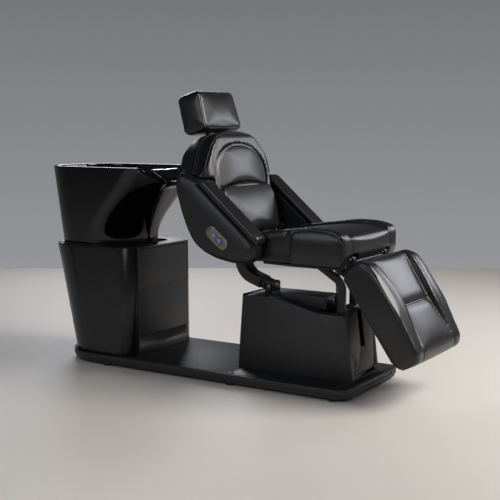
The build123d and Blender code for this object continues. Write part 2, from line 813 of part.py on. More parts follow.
    holder = rod_z(tap_x, spray_y, spray_base_radius, deck_low, deck_low + spray_base_height)
    holder += rod_z(tap_x, spray_y, spray_socket_radius, deck_low - spray_socket_depth, deck_low)
    holder -= rod_z(tap_x, spray_y, spray_handle_radius + slip_clearance,
                    deck_low - spray_socket_depth - overrun, deck_low + spray_base_height + overrun)
    seat_z = deck_low + spray_base_height + seat_gap
    spray = rod_z(tap_x, spray_y, spray_handle_radius, seat_z - spray_handle_length / 2,
                  seat_z + spray_handle_length / 2)
    spray += Pos(tap_x, spray_y, seat_z) * Cone(spray_collar, spray_handle_radius, spray_collar,
                                                align=(Align.CENTER, Align.CENTER, Align.MIN))
    head_low = seat_z + spray_handle_length / 2
    spray += Pos(tap_x, spray_y, head_low) * Cone(spray_handle_radius, spray_head_radius, spray_head_height,
                                                  align=(Align.CENTER, Align.CENTER, Align.MIN))
    return {
        "basin": [basin],
        "basin_gasket": [gasket],
        "neck_cushion": [neck_cushion(basin)],
        "waste_flange": [flange],
        "strainer": [strainer],
        "waste_pipe": [waste],
        "supply_pipes": supplies,
        "mixer_body": [tap],
        "mixer_lever": [lever],
        "spray_holder": [holder],
        "spray_handset": [spray],
    }


def cabinet_rear_at(z):
    """X of the cabinet's rear face at a height."""
    return mix(cabinet_bottom_rear_x, cabinet_top_rear_x, (z - plate_top_z) / cabinet_height)


def neck_cushion(basin):
    """Gel pad lying over the notch, hooked inside and outside the basin's front wall."""
    top_z = flap_bottom_z + neck_thickness
    front_x = basin_rim_front_x - neck_front_inset
    inner_x = front_x - neck_length
    points = [
        (front_x, flap_bottom_z - neck_outer_flap),
        (front_x, top_z),
        (inner_x, top_z + neck_rise),
        (inner_x - neck_thickness, flap_bottom_z - neck_inner_flap),
    ]
    radii = (neck_thickness / 4, neck_corner_radius, neck_corner_radius, neck_thickness / 4)
    cushion = side_slab(points, radii, -neck_half_width, neck_half_width)
    corners = [(front_x + overrun, -neck_half_width), (front_x + overrun, neck_half_width),
               (inner_x - neck_thickness - overrun, neck_half_width),
               (inner_x - neck_thickness - overrun, -neck_half_width)]
    cushion &= plan_slab(corners, (neck_plan_radius,) * 4, flap_bottom_z - basin_height,
                         rim_z + basin_height)
    dip = rod_x(0, top_z + neck_rise + neck_dip_radius - neck_dip, neck_dip_radius,
                inner_x - neck_thickness * 2, front_x + overrun)
    cushion -= dip
    cushion -= basin
    keep = max(cushion.solids(), key=solid_volume)
    return keep


def solid_volume(solid):
    """Volume of a solid, for sorting."""
    return solid.volume


def pedestal_outline(inset):
    """Side view of the pedestal inside its front and rear panels."""
    low = plate_top_z
    points = [
        (pedestal_bottom_rear_x + inset, low),
        (pedestal_top_rear_x + inset, pedestal_top_z - inset),
        (fender_start_x, pedestal_top_z - inset),
        (fender_end_x, pedestal_low_z - inset),
        (pedestal_front_top_x - inset, pedestal_low_z - inset),
        (pedestal_bottom_front_x - inset, low),
    ]
    radii = (0, pedestal_radius, fender_radius, fender_radius, pedestal_radius, 0)
    return points, radii


def panel_strip(front, thickness, z_low, z_high, half_width):
    """Sloping flat panel along the pedestal's front or rear face."""
    if front:
        low_x, high_x, step = pedestal_bottom_front_x, pedestal_front_top_x, -thickness
        full = pedestal_low_z - plate_top_z
    else:
        low_x, high_x, step = pedestal_bottom_rear_x, pedestal_top_rear_x, thickness
        full = pedestal_top_z - plate_top_z
    x_low = mix(low_x, high_x, (z_low - plate_top_z) / full)
    x_high = mix(low_x, high_x, (z_high - plate_top_z) / full)
    points = [(x_low, z_low), (x_high, z_high), (x_high + step, z_high), (x_low + step, z_low)]
    return side_slab(points, (0, 0, 0, 0), -half_width, half_width)


def pedestal_parts():
    """Pedestal frame with its arm stubs, covers and panels, spine, link bracket and pin."""
    sheet = front_panel_sheet
    points, radii = pedestal_outline(sheet)
    body = side_slab(points, radii, well_half_width, pedestal_half_width)
    core_points, core_radii = pedestal_outline(sheet + pedestal_wall)
    core_points[0] = (core_points[0][0], plate_top_z - overrun)
    core_points[-1] = (core_points[-1][0], plate_top_z - overrun)
    core = side_slab(core_points, core_radii, well_half_width - overrun, pedestal_half_width - pedestal_wall)
    cover_left = body - core
    cover_left &= block(pedestal_bottom_rear_x - overrun, pedestal_bottom_front_x + overrun, 0,
                        pedestal_half_width + overrun, plate_top_z, pedestal_top_z + overrun)
    cover_right = mirror(cover_left, Plane.XZ)

    front = panel_strip(True, sheet, plate_top_z, pedestal_low_z, pedestal_half_width)
    slot_points = [(-slot_half_width, slot_bottom_z), (slot_half_width, slot_bottom_z),
                   (slot_half_width, pedestal_low_z + overrun), (-slot_half_width, pedestal_low_z + overrun)]
    front -= front_slab(slot_points, (slot_half_width / 2, slot_half_width / 2, 0, 0),
                        arm_pivot_x, pedestal_bottom_front_x + overrun)
    bolts = []
    lean = degrees(atan2(pedestal_bottom_front_x - pedestal_front_top_x, pedestal_low_z - plate_top_z))
    bolt_x = mix(pedestal_bottom_front_x, pedestal_front_top_x,
                 (pedestal_bolt_z - plate_top_z) / (pedestal_low_z - plate_top_z))
    for y in (-pedestal_bolt_y, pedestal_bolt_y):
        place = Location((bolt_x, y, pedestal_bolt_z), (0, 90 - lean, 0))
        head = place * Cylinder(pedestal_bolt_radius, pedestal_bolt_head,
                                align=(Align.CENTER, Align.CENTER, Align.MIN))
        shank = place * Cylinder(pedestal_bolt_radius / 2, sheet + pedestal_wall,
                                 align=(Align.CENTER, Align.CENTER, Align.MAX))
        front -= shank
        cover_left -= shank
        cover_right -= shank
        bolts.append(head + shank)
    rear = panel_strip(False, sheet, plate_top_z, pedestal_top_z, pedestal_half_width)

    top_low = pedestal_top_z - sheet - pedestal_wall
    top = block(pedestal_top_rear_x + sheet, spine_start_x, -well_half_width, well_half_width, top_low,
                pedestal_top_z - sheet)

    spine_points = [
        (spine_start_x, pedestal_top_z - sheet), (spine_start_x, spine_top_z),
        (spine_end_x - spine_nose, spine_top_z), (spine_end_x, spine_top_z - spine_nose),
        (spine_end_x, pedestal_top_z - spine_skirt), (spine_start_x, pedestal_top_z - spine_skirt),
    ]
    spine = side_slab(spine_points, (0, spine_nose / 2, spine_nose, spine_nose / 2, 0, 0),
                      -spine_half_width, spine_half_width)
    wall = spine_wall
    hollow = block(spine_start_x - overrun, spine_end_x - wall, -spine_half_width + wall,
                   spine_half_width - wall, pedestal_top_z - spine_skirt - overrun, spine_top_z - spine_nose)
    spine -= hollow

    flange_rear = pedestal_bottom_rear_x + frame_flange_end_inset
    flange_front = pedestal_bottom_front_x - frame_flange_end_inset
    frame = block(flange_rear, flange_front, -frame_flange_half_width, frame_flange_half_width,
                  plate_top_z, plate_top_z + frame_plate)
    web_top = top_low - frame_plate
    bridge_rear = link_pivot_x - frame_bridge_length / 2
    bridge_front = link_pivot_x + frame_bridge_length / 2
    lug_low_x = arm_pivot_x - lug_radius
    web_points = [
        (bridge_rear, plate_top_z + frame_plate), (bridge_rear, web_top), (bridge_front, web_top),
        (spine_end_x - frame_bridge_length, spine_frame_z), (lug_low_x, spine_frame_z),
        (lug_low_x, arm_pivot_z + lug_radius), (arm_pivot_x + lug_radius, arm_pivot_z + lug_radius),
        (arm_pivot_x + lug_radius, plate_top_z + frame_plate),
    ]
    web_radii = (0, 0, 0, 0, 0, lug_radius / 2, lug_radius - seat_gap, 0)
    web = side_slab(web_points, web_radii, frame_web_y - frame_plate / 2, frame_web_y + frame_plate / 2)
    frame += web
    frame += mirror(web, Plane.XZ)
    frame += block(bridge_rear, bridge_front, -well_half_width, well_half_width, web_top, top_low)
    frame += block(bridge_rear - frame_plate, bridge_rear, -frame_web_y - frame_plate / 2,
                   frame_web_y + frame_plate / 2, plate_top_z + frame_plate, top_low)

    shaft_reach = arm_y + arm_thickness / 2 + slip_clearance
    stub_low = frame_web_y - frame_plate / 2
    stub = rod_y(arm_pivot_x, arm_pivot_z, shaft_radius, stub_low, shaft_reach)
    stub += rod_y(arm_pivot_x, arm_pivot_z, shaft_head_radius, shaft_reach, shaft_reach + shaft_head)

    top -= block(link_pivot_x - bracket_length / 2, link_pivot_x + bracket_length / 2, -bracket_half_width,
                 bracket_half_width, top_low - overrun, pedestal_top_z)
    cheek_low = bracket_half_width - bracket_cheek
    bracket = block(link_pivot_x - bracket_length / 2, link_pivot_x + bracket_length / 2,
                    -bracket_half_width, bracket_half_width, top_low,
                    link_pivot_z - link_boss_radius - seat_gap)
    cheek_points = [
        (link_pivot_x - bracket_length / 2, top_low), (link_pivot_x - bracket_length / 2, bracket_top_z),
        (link_pivot_x + bracket_length / 2, bracket_top_z), (link_pivot_x + bracket_length / 2, top_low),
    ]
    cheek_radius = bracket_length / 4
    cheek = side_slab(cheek_points, (0, cheek_radius, cheek_radius, 0), cheek_low, bracket_half_width)
    bracket += cheek
    bracket += mirror(cheek, Plane.XZ)
    bracket -= rod_y(link_pivot_x, link_pivot_z, link_pin_radius, -bracket_half_width, bracket_half_width)
    pin = rod_y(link_pivot_x, link_pivot_z, link_pin_radius, -bracket_half_width, bracket_half_width)

    low_pin_y = frame_web_y + frame_plate / 2
    frame += rod_y(actuator_low_x, actuator_low_z, actuator_pin_radius, -low_pin_y, low_pin_y)
    frame += stub
    frame += mirror(stub, Plane.XZ)
    return {
        "pedestal_frame": [frame],
        "pedestal_cover_right": [cover_right],
        "pedestal_cover_left": [cover_left],
        "pedestal_front_panel": [front],
        "pedestal_front_bolts": bolts,
        "pedestal_rear_panel": [rear],
        "pedestal_top_cover": [top],
        "spine_cover": [spine],
        "link_bracket": [bracket],
        "link_pin": [pin],
    }


def bent_bar(path, width, radius, y_low, y_high):
    """Flat bar along a bent line of (x, z) points, each bend rounded by one radius."""
    half = width / 2
    left = []
    right = []
    left_radii = []
    right_radii = []
    last = len(path) - 1
    for i, (x, z) in enumerate(path):
        before = path[max(i - 1, 0)]
        after = path[min(i + 1, last)]
        came = Vector(x - before[0], z - before[1])
        goes = Vector(after[0] - x, after[1] - z)
        came = goes if i == 0 else came
        goes = came if i == last else goes
        came = came.normalized()
        goes = goes.normalized()
        middle = (came + goes).normalized()
        side = Vector(-middle.Y, middle.X)
        reach = half / (middle.X * came.X + middle.Y * came.Y)
        turn = came.X * goes.Y - came.Y * goes.X
        left.append((x + side.X * reach, z + side.Y * reach))
        right.append((x - side.X * reach, z - side.Y * reach))
        ends = i in (0, last)
        left_radii.append(0 if ends else radius - half if turn > 0 else radius + half)
        right_radii.append(0 if ends else radius + half if turn > 0 else radius - half)
    return side_slab(left + right[::-1], left_radii + right_radii[::-1], y_low, y_high)


def pair(make, inner, outer):
    """The same piece between two distances from the middle plane, on both sides."""
    return make(inner, outer) + make(-outer, -inner)


def carriage_parts():
    """Front arms, rear link and the actuator between pedestal and seat."""
    bend_x = arm_pivot_x
    bend_z = arm_pivot_z + arm_bend_height
    path = [(arm_pivot_x, arm_pivot_z), (bend_x, bend_z), (arm_top_x, arm_top_z)]
    inner = arm_y - arm_thickness / 2
    outer = arm_y + arm_thickness / 2

    def arm(y_low, y_high):
        bar = bent_bar(path, arm_width, arm_bend_radius, y_low, y_high)
        bar += rod_y(arm_pivot_x, arm_pivot_z, arm_boss_radius, y_low, y_high)
        return bar + rod_y(arm_top_x, arm_top_z, arm_boss_radius, y_low, y_high)

    arms = pair(arm, inner, outer)
    cross_x = mix(bend_x, arm_top_x, arm_cross_share)
    cross_z = mix(bend_z, arm_top_z, arm_cross_share)
    arms += rod_y(cross_x, cross_z, arm_cross_radius, -outer, outer)
    arms -= rod_y(arm_pivot_x, arm_pivot_z, shaft_radius + pin_clearance, -outer - overrun,
                  outer + overrun)
    arms -= rod_y(arm_top_x, arm_top_z, pivot_shaft_radius + pin_clearance, -outer - overrun,
                  outer + overrun)

    bow = (link_pivot_x + link_bow_x, link_pivot_z + link_bow_z)
    link_path = [(link_pivot_x, link_pivot_z), bow, (link_top_x, link_top_z)]
    link = bent_bar(link_path, link_thickness, link_bow_radius, -link_half_width, link_half_width)
    for x, z in (link_path[0], link_path[-1]):
        link += rod_y(x, z, link_boss_radius, -link_half_width, link_half_width)
        link -= rod_y(x, z, link_pin_radius + pin_clearance, -link_half_width - overrun,
                      link_half_width + overrun)

    def clear(y_low, y_high):
        return rod_y(link_pivot_x, link_pivot_z, link_tongue_reach, y_low, y_high)

    link -= pair(clear, link_tongue_half_width, link_half_width + overrun)
    link -= rod_y(link_top_x, link_top_z, link_pin_radius + open_pin_clearance, -link_half_width - overrun,
                  link_half_width + overrun)

    reach = hypot(actuator_high_x - actuator_low_x, actuator_high_z - actuator_low_z)
    turn = degrees(atan2(actuator_high_x - actuator_low_x, actuator_high_z - actuator_low_z))
    place = Pos(actuator_low_x, 0, actuator_low_z) * Rot(0, turn, 0)
    tube = rod_z(0, 0, actuator_tube_radius, 0, actuator_tube_length)
    tube += rod_y(0, 0, actuator_tube_radius, -actuator_foot_half_width, actuator_foot_half_width)
    tube += rod_z(0, 0, actuator_tube_radius + actuator_cap / 6, actuator_tube_length - actuator_cap,
                  actuator_tube_length)
    tube -= rod_y(0, 0, actuator_pin_radius + pin_clearance, -actuator_foot_half_width - overrun,
                  actuator_foot_half_width + overrun)
    tube -= rod_z(0, 0, actuator_rod_radius + pin_clearance, actuator_foot_length,
                  actuator_tube_length + overrun)
    rod = rod_z(0, 0, actuator_rod_radius, actuator_tube_length - actuator_rod_hidden,
                reach - actuator_slot_half)
    for z in (reach - actuator_slot_half, reach + actuator_slot_half):
        rod += rod_y(0, z, actuator_eye_radius, -actuator_eye_half_width, actuator_eye_half_width)
    rod += block(-actuator_eye_radius, actuator_eye_radius, -actuator_eye_half_width,
                 actuator_eye_half_width, reach - actuator_slot_half, reach + actuator_slot_half)
    slot = actuator_pin_radius + actuator_pin_clearance
    wide = actuator_eye_half_width + overrun
    for z in (reach - actuator_slot_half, reach + actuator_slot_half):
        rod -= rod_y(0, z, slot, -wide, wide)
    rod -= block(-slot, slot, -wide, wide, reach - actuator_slot_half, reach + actuator_slot_half)
    return {
        "front_arms": [arms],
        "rear_link": [link],
        "actuator_body": [place * tube],
        "actuator_rod": [place * rod],
    }


def seat_side_points(drop):
    """Side view of the seat cushion with its top let down by a drop."""
    length = seat_front_x - seat_rear_x
    height = seat_top_z - seat_low_z
    points = [(seat_rear_x + length * x, seat_low_z + height * z) for x, z in seat_side_shares]
    return points[:3] + [(x, z - drop) for x, z in points[3:]]


def seat_trough(drop, y_low, y_high):
    """Everything above the seat's lowered middle, between two Y planes."""
    top = seat_side_points(drop)[3:]
    high = seat_top_z + seat_bolster_y
    front = seat_front_x + seat_bolster_y
    points = top + [(seat_rear_x - overrun, top[-1][1]), (seat_rear_x - overrun, high), (front, high),
                    (front, top[0][1])]
    radii = seat_side_radii[3:-1] + (0.0, 0.0, 0.0, 0.0, 0.0)
    return side_slab(points, radii, y_low, y_high)


def seat_parts():
    """Seat frame with its pins, bottom cover and cushion."""
    cushion = side_slab(seat_side_points(0), seat_side_radii, -seat_half_width, seat_half_width)
    plan = [
        (seat_front_x, -seat_half_width), (seat_front_x, seat_half_width), (seat_step_x, seat_half_width),
        (seat_step_x, seat_rear_half_width), (seat_rear_x, seat_rear_half_width),
        (seat_rear_x, -seat_rear_half_width), (seat_step_x, -seat_rear_half_width),
        (seat_step_x, -seat_half_width),
    ]
    corner = seat_corner_radius
    step = seat_step_radius
    plan_radii = (corner, corner, step, step / 2, step, step, step / 2, step)
    cushion &= plan_slab(plan, plan_radii, seat_low_z - overrun, seat_top_z + overrun)
    height = seat_top_z - seat_low_z
    right = [(-seat_half_width * y, seat_low_z + height * z) for y, z in seat_section_shares]
    left = [(-y, z) for y, z in right[::-1]]
    section_radii = seat_section_radii + seat_section_radii[::-1]
    cushion &= front_slab(right + left, section_radii, seat_rear_x - overrun, seat_front_x + overrun)
    cushion -= seat_trough(seat_bolster_rise, -seat_bolster_y, seat_bolster_y)
    groove = seat_seam_width / 2
    for y in (-seat_bolster_y, seat_bolster_y):
        cushion -= seat_trough(seat_bolster_rise + seat_seam_depth, y - groove, y + groove)
    wall = seat_skirt_wall
    inner_front = seat_rear_x + (seat_front_x - seat_rear_x) * seat_side_shares[1][0] - wall
    low = seat_low_z - overrun
    half = seat_half_width * seat_section_shares[0][0] - wall
    cushion -= block(seat_step_x + wall, inner_front, -half, half, low, seat_hollow_z)
    rear_half = seat_rear_half_width - wall
    cushion -= block(seat_rear_x + wall, seat_step_x + wall + overrun, -rear_half, rear_half, low,
                     seat_hollow_z)

    def notch(y_low, y_high):
        return block(leg_notch_rear_x, seat_front_x + overrun, y_low, y_high, low - pan_thickness,
                     leg_notch_top_z)

    cushion -= pair(notch, leg_notch_low_y, leg_notch_high_y)
    rail_y = seat_frame_half_width - seat_rail_thickness

    def rail_gap(y_low, y_high):
        return block(seat_rear_x - overrun, seat_step_x, y_low, y_high, low, seat_hollow_z)

    cushion -= pair(rail_gap, rail_y - slip_clearance, seat_frame_half_width + slip_clearance)

    frame = block(seat_tray_rear_x + seat_skirt_wall, seat_tray_front_x, -seat_frame_half_width,
                  seat_frame_half_width, seat_hollow_z - seat_frame_sheet, seat_hollow_z)

    window_half_width = actuator_eye_half_width + slip_clearance
    frame -= block(actuator_high_x - actuator_window_half, actuator_high_x + actuator_window_half,
                   -window_half_width, window_half_width, seat_hollow_z - seat_frame_sheet - overrun,
                   seat_hollow_z + overrun)

    def rail(y_low, y_high):
        bar = block(seat_cross_front_x, leg_hinge_x, y_low, y_high, seat_rail_low_z, seat_hollow_z)
        return bar + rod_y(leg_hinge_x, leg_hinge_z, leg_boss_radius, y_low, y_high)

    cross_half = seat_ear_y + seat_ear
    frame += block(seat_cross_rear_x, seat_cross_front_x, -cross_half, cross_half, seat_cross_low_z,
                   seat_hollow_z)
    frame += pair(rail, rail_y, seat_frame_half_width)
    cross_mid_x = mix(seat_cross_rear_x, seat_cross_front_x, 0.5)
    cross_mid_z = mix(seat_cross_low_z, seat_hollow_z, 0.5)

    def ear(y_low, y_high):
        bar = bent_bar([(cross_mid_x, cross_mid_z), (back_hinge_x, back_hinge_z)], seat_ear_width, 0,
                       y_low, y_high)
        return bar + rod_y(back_hinge_x, back_hinge_z, seat_boss_radius, y_low, y_high)

    frame += pair(ear, seat_ear_y, cross_half)

    def cheek(y_low, y_high):
        bar = bent_bar([(cross_mid_x, cross_mid_z), (link_top_x, link_top_z)], seat_ear_width, 0,
                       y_low, y_high)
        return bar + rod_y(link_top_x, link_top_z, seat_boss_radius, y_low, y_high)

    frame += pair(cheek, link_cheek_y, link_cheek_y + link_cheek_thickness)

    def arm_lug(y_low, y_high):
        bar = block(arm_top_x - seat_boss_radius, arm_top_x + seat_boss_radius, y_low, y_high, arm_top_z,
                    seat_hollow_z)
        return bar + rod_y(arm_top_x, arm_top_z, seat_boss_radius, y_low, y_high)

    frame += pair(arm_lug, arm_lug_y, arm_lug_y + link_cheek_thickness)

    def actuator_lug(y_low, y_high):
        bar = block(actuator_high_x - seat_boss_radius, actuator_high_x + seat_boss_radius, y_low, y_high,
                    actuator_high_z, seat_hollow_z)
        return bar + rod_y(actuator_high_x, actuator_high_z, seat_boss_radius, y_low, y_high)

    frame += pair(actuator_lug, actuator_lug_y, actuator_lug_y + link_cheek_thickness)

    arm_pin_y = arm_lug_y + link_cheek_thickness
    link_pin_y = link_cheek_y + link_cheek_thickness
    actuator_pin_y = actuator_lug_y + link_cheek_thickness
    pins = [
        rod_y(arm_top_x, arm_top_z, pivot_shaft_radius, -arm_pin_y, arm_pin_y),
        rod_y(link_top_x, link_top_z, link_pin_radius, -link_pin_y, link_pin_y),
        rod_y(actuator_high_x, actuator_high_z, actuator_pin_radius, -actuator_pin_y, actuator_pin_y),
    ]
    ear_end = seat_ear_y + seat_ear + back_arm_gap + back_arm_thickness
    leg_pin_low = leg_arm_y - leg_arm_thickness / 2 - leg_pin_reach
    leg_pin_high = seat_frame_half_width + leg_pin_reach
    hinge_pins = []
    for side in (-1, 1):
        ends = sorted((side * seat_ear_y, side * ear_end))
        hinge_pins.append(rod_y(back_hinge_x, back_hinge_z, back_pin_radius, *ends))
    leg_pins = []
    for side in (-1, 1):
        ends = sorted((side * leg_pin_low, side * leg_pin_high))
        leg_pins.append(rod_y(leg_hinge_x, leg_hinge_z, leg_pin_radius, *ends))
    for piece in pins[:2] + hinge_pins + leg_pins:
        frame -= piece
    frame += pins[2]

    cover = block(pan_rear_x, pan_front_x, -pan_half_width, pan_half_width, seat_low_z - pan_thickness,
                  seat_low_z)
    trim = [(pan_front_x, -pan_half_width), (pan_front_x, pan_half_width), (seat_step_x, pan_half_width),
            (pan_rear_x, pan_rear_half_width), (pan_rear_x, -pan_rear_half_width),
            (seat_step_x, -pan_half_width)]
    cover &= plan_slab(trim, (step, step, 0, step, step, 0), seat_low_z - pan_thickness, seat_low_z)
    cover -= block(pan_slot_rear_x, pan_slot_front_x, -pan_slot_half_width, pan_slot_half_width,
                   seat_low_z - pan_thickness - overrun, seat_low_z + overrun)
    cover -= pair(notch, leg_notch_low_y, leg_notch_high_y)
    return {
        "seat_frame": [frame],
        "seat_pivot_shaft": [pins[0]],
        "open_link_pin": [pins[1]],
        "back_hinge_pins": hinge_pins,
        "legrest_pins": leg_pins,
        "seat_bottom_cover": [cover],
        "seat_cushion": [cushion],
    }


def lean(shape):
    """Puts a piece drawn on the upright back in its leaning place."""
    return Pos(back_hinge_x, 0, back_hinge_z) * Rot(0, -back_lean, 0) * shape


def back_outline(low_half, high_half, inset, rear, front):
    """Slab of the back's front view between two depths, inset at its bottom and top."""
    points = [
        (-low_half, back_low + inset), (-low_half, shoulder_front_s - back_low_radius),
        (-high_half, shoulder_front_s), (-back_top_half_width, back_high - inset),
        (back_top_half_width, back_high - inset), (high_half, shoulder_front_s),
        (low_half, shoulder_front_s - back_low_radius),
        (low_half, back_low + inset),
    ]
    corner = back_corner_radius - inset
    radii = (back_low_radius, 0, 0, corner, corner, 0, 0, back_low_radius)
    return front_slab(points, radii, rear, front)


def wing_clearance(shape, inner_half, lift):
    """Takes the wings' and armrests' room away from a piece's lower sides."""
    slope = (shoulder_rear_s - shoulder_front_s) / (shoulder_rear - shoulder_front)
    far = shoulder_rear * 2
    near = -far
    points = [
        (far, back_low * 2), (near, back_low * 2), (near, shoulder_front_s + lift),
        (shoulder_front, shoulder_front_s + lift),
        (far, shoulder_front_s + slope * (far - shoulder_front) + lift),
    ]

    def cutter(y_low, y_high):
        return side_slab(points, (0, 0, 0, 0, 0), y_low, y_high)

    return shape - pair(cutter, inner_half, back_half_width + overrun)


def link_pocket(front):
    """Room behind the lumbar pad in which the rear link swings."""
    return block(back_rear - overrun, front, -link_pocket_half_width, link_pocket_half_width,
                 back_low - overrun, link_pocket_top)


def mirrored_outline(corners, radii, arch_low, arch_high, arch_radius):
    """Front-view corners of a pad from its right half, with an optional arch low or high."""
    right = [(-y, s) for y, s in corners]
    left = [(y, s) for y, s in corners[::-1]]
    points = ([(0, arch_low)] if arch_low else []) + right + ([(0, arch_high)] if arch_high else []) + left
    low_radii = (arch_radius,) if arch_low else ()
    high_radii = (arch_radius,) if arch_high else ()
    return points, low_radii + radii + high_radii + radii[::-1]


def back_parts():
    """Back hinge arms, board, rear cover, pads, headrest and its posts."""
    arm_low_y = seat_ear_y + seat_ear + back_arm_gap
    arm_path = [(0, 0), (back_arm_out, back_arm_low), (back_arm_end, back_arm_top)]

    def back_arm(y_low, y_high):
        bar = bent_bar(arm_path, back_arm_width, back_arm_bend, y_low, y_high)
        bar += rod_y(0, 0, seat_boss_radius, y_low, y_high)
        return bar - rod_y(0, 0, back_pin_radius + pin_clearance, y_low - overrun, y_high + overrun)

    arm_left = back_arm(arm_low_y, arm_low_y + back_arm_thickness)
    arm_right = back_arm(-arm_low_y - back_arm_thickness, -arm_low_y)

    def shell_body(inset, front):
        points = [
            (front, back_low + inset), (back_rear_low + inset, back_low + inset),
            (back_rear + inset, back_rear_bend), (back_rear + inset, back_rear_high),
            (back_rear + inset + back_shell_radius / 2, back_high - inset), (front, back_high - inset),
        ]
        radii = (0, back_shell_radius - inset, back_shell_radius * 2, back_shell_radius,
                 back_shell_radius / 2, 0)
        body = side_slab(points, radii, -back_half_width, back_half_width)
        body &= back_outline(back_low_half_width - inset, back_half_width - inset, inset,
                             back_rear - overrun, front + overrun)
        return wing_clearance(body, back_low_half_width - inset, inset)

    shell = shell_body(0, back_shell_front)
    shell -= shell_body(back_shell_wall, back_shell_front + overrun)
    shell -= link_pocket(back_shell_front + overrun)
    for y in (-post_y, post_y):
        shell -= rod_z(post_t, y, post_radius + post_sleeve_wall, back_high - back_corner_radius,
                       back_high + overrun)

    board = back_outline(back_inner_half_width, back_half_width - back_shell_wall, back_shell_wall,
                         back_board_rear, back_board_front)
    board = wing_clearance(board, back_inner_half_width, back_shell_wall)
    board -= link_pocket(back_board_front + overrun)

    bolster = back_outline(back_inner_half_width, back_half_width - bolster_inset, bolster_inset,
                           back_board_front, bolster_front)
    bolster = wing_clearance(bolster, back_inner_half_width, bolster_inset)
    section = [(back_board_front, -back_half_width), (bolster_front, -bolster_side_flat),
               (bolster_front, bolster_side_flat), (back_board_front, back_half_width)]
    bolster &= plan_slab(section, (0, bolster_side_radius, bolster_side_radius, 0), back_low - overrun,
                         back_high + overrun)
    profile = [(back_board_front, back_low), (bolster_front, back_low), (bolster_front, bolster_top_flat),
               (back_board_front, back_high + overrun)]
    bolster &= side_slab(profile, (0, 0, bolster_top_radius, 0), -back_half_width, back_half_width)

    dome_points, dome_all = mirrored_outline(dome_corners, dome_radii, dome_arch_s, 0, dome_arch_radius)
    dome = front_slab(dome_points, dome_all, dome_rear, dome_front)
    wide = max(y for y, s in dome_corners)
    tall = (dome_corners[-1][1] - dome_corners[0][1]) / 2
    crown = wide * wide / 2 / dome_crown
    rise = tall * tall / 2 / dome_rise_crown
    dome &= rod_z(dome_front - crown, 0, crown, back_low, back_high)
    dome &= rod_y(dome_front - rise, mix(dome_corners[0][1], dome_corners[-1][1], 0.5), rise,
                  -back_half_width, back_half_width)
    grown = [(y + (pad_gap if y > 0 else -pad_gap if y < 0 else 0), s) for y, s in dome_points]
    spread = [(y, s + (pad_gap if s > dome_arch_s else -pad_gap)) for y, s in grown]
    bolster -= front_slab(spread, dome_all, dome_rear, bolster_front + overrun)

    lumbar_points, lumbar_all = mirrored_outline(lumbar_corners, lumbar_radii, 0, lumbar_arch_s,
                                                 dome_arch_radius)
    lumbar = side_slab(lumbar_profile, lumbar_profile_radii, -back_half_width, back_half_width)
    lumbar &= front_slab(lumbar_points, lumbar_all, back_board_front, lumbar_front + overrun)
    lumbar_wide = max(y for y, s in lumbar_corners)
    belly = lumbar_wide * lumbar_wide / 2 / lumbar_crown
    lumbar &= rod_z(lumbar_front - belly, 0, belly, back_low, back_high)
    lumbar -= link_pocket(link_pocket_front)
    room = [(y + (pad_gap if y > 0 else -pad_gap if y < 0 else 0), s + pad_gap) for y, s in lumbar_points]
    room_low = [(y, s if s > 0 else back_low - overrun) for y, s in room]
    bolster -= front_slab(room_low, lumbar_all, back_board_front - overrun, bolster_front + overrun)
    bolster = max(bolster.solids(), key=solid_volume)

    half_low = headrest_low_half_width
    half_high = headrest_top_half_width
    head_face = [(-half_low, 0), (-half_high, headrest_height), (half_high, headrest_height), (half_low, 0)]
    head = front_slab(head_face, (headrest_radius,) * 4, -headrest_depth, headrest_crown)
    head_side = [(-headrest_depth, 0), (0, 0), (headrest_crown, headrest_height / 2), (0, headrest_height),
                 (-headrest_depth, headrest_height)]
    round_side = headrest_radius
    head &= side_slab(head_side, (round_side, round_side, headrest_height, round_side, round_side),
                      -half_low, half_low)
    head_crown = half_low * half_low / 2 / headrest_crown
    head &= rod_z(headrest_crown - head_crown, 0, head_crown, 0, headrest_height)
    headrest = Pos(headrest_front, 0, headrest_low) * Rot(0, -headrest_tilt, 0) * head

    posts = []
    sleeves = []
    sleeve_low = back_high - post_sleeve_length
    for y in (-post_y, post_y):
        post = rod_z(post_t, y, post_radius, headrest_low - post_hidden, headrest_low + post_in_cushion)
        posts.append(post)
        headrest -= rod_z(post_t, y, post_radius, headrest_low - overrun, headrest_low + post_in_cushion)
        sleeve = rod_z(post_t, y, post_radius + post_sleeve_wall, sleeve_low, back_high)
        sleeve += rod_z(post_t, y, post_radius + post_sleeve_wall * 2, back_high,
                        back_high + post_sleeve_collar)
        sleeve -= rod_z(post_t, y, post_radius + pin_clearance, sleeve_low - overrun,
                        back_high + post_sleeve_collar + overrun)
        sleeves.append(sleeve)
    nodes = {
        "back_arms": [arm_right, arm_left],
        "back_shell": [shell],
        "back_board": [board],
        "back_bolster": [bolster],
        "upper_pad": [dome],
        "lumbar_pad": [lumbar],
        "headrest_cushion": [headrest],
        "headrest_posts": posts,
        "post_sleeves": sleeves,
    }
    return {name: [lean(piece) for piece in pieces] for name, pieces in nodes.items()}


def side_shape(outline_shares, radius_shares, y_low, y_high):
    """Slab of a wing outline given as shares of the wing's length and height."""
    points = [(wing_rear_x + wing_length * x, wing_low_z + wing_height * z) for x, z in outline_shares]
    return side_slab(points, [wing_length * share for share in radius_shares], y_low, y_high)


def control_oval(length, width, y_low, y_high):
    """Oval piece lying along the control plate's tilt."""
    box = [(-length / 2, -width / 2), (length / 2, -width / 2), (length / 2, width / 2),
           (-length / 2, width / 2)]
    oval = side_slab(box, (width / 2 - seat_gap,) * 4, y_low, y_high)
    return Pos(control_x, 0, control_z) * Rot(0, control_tilt, 0) * oval


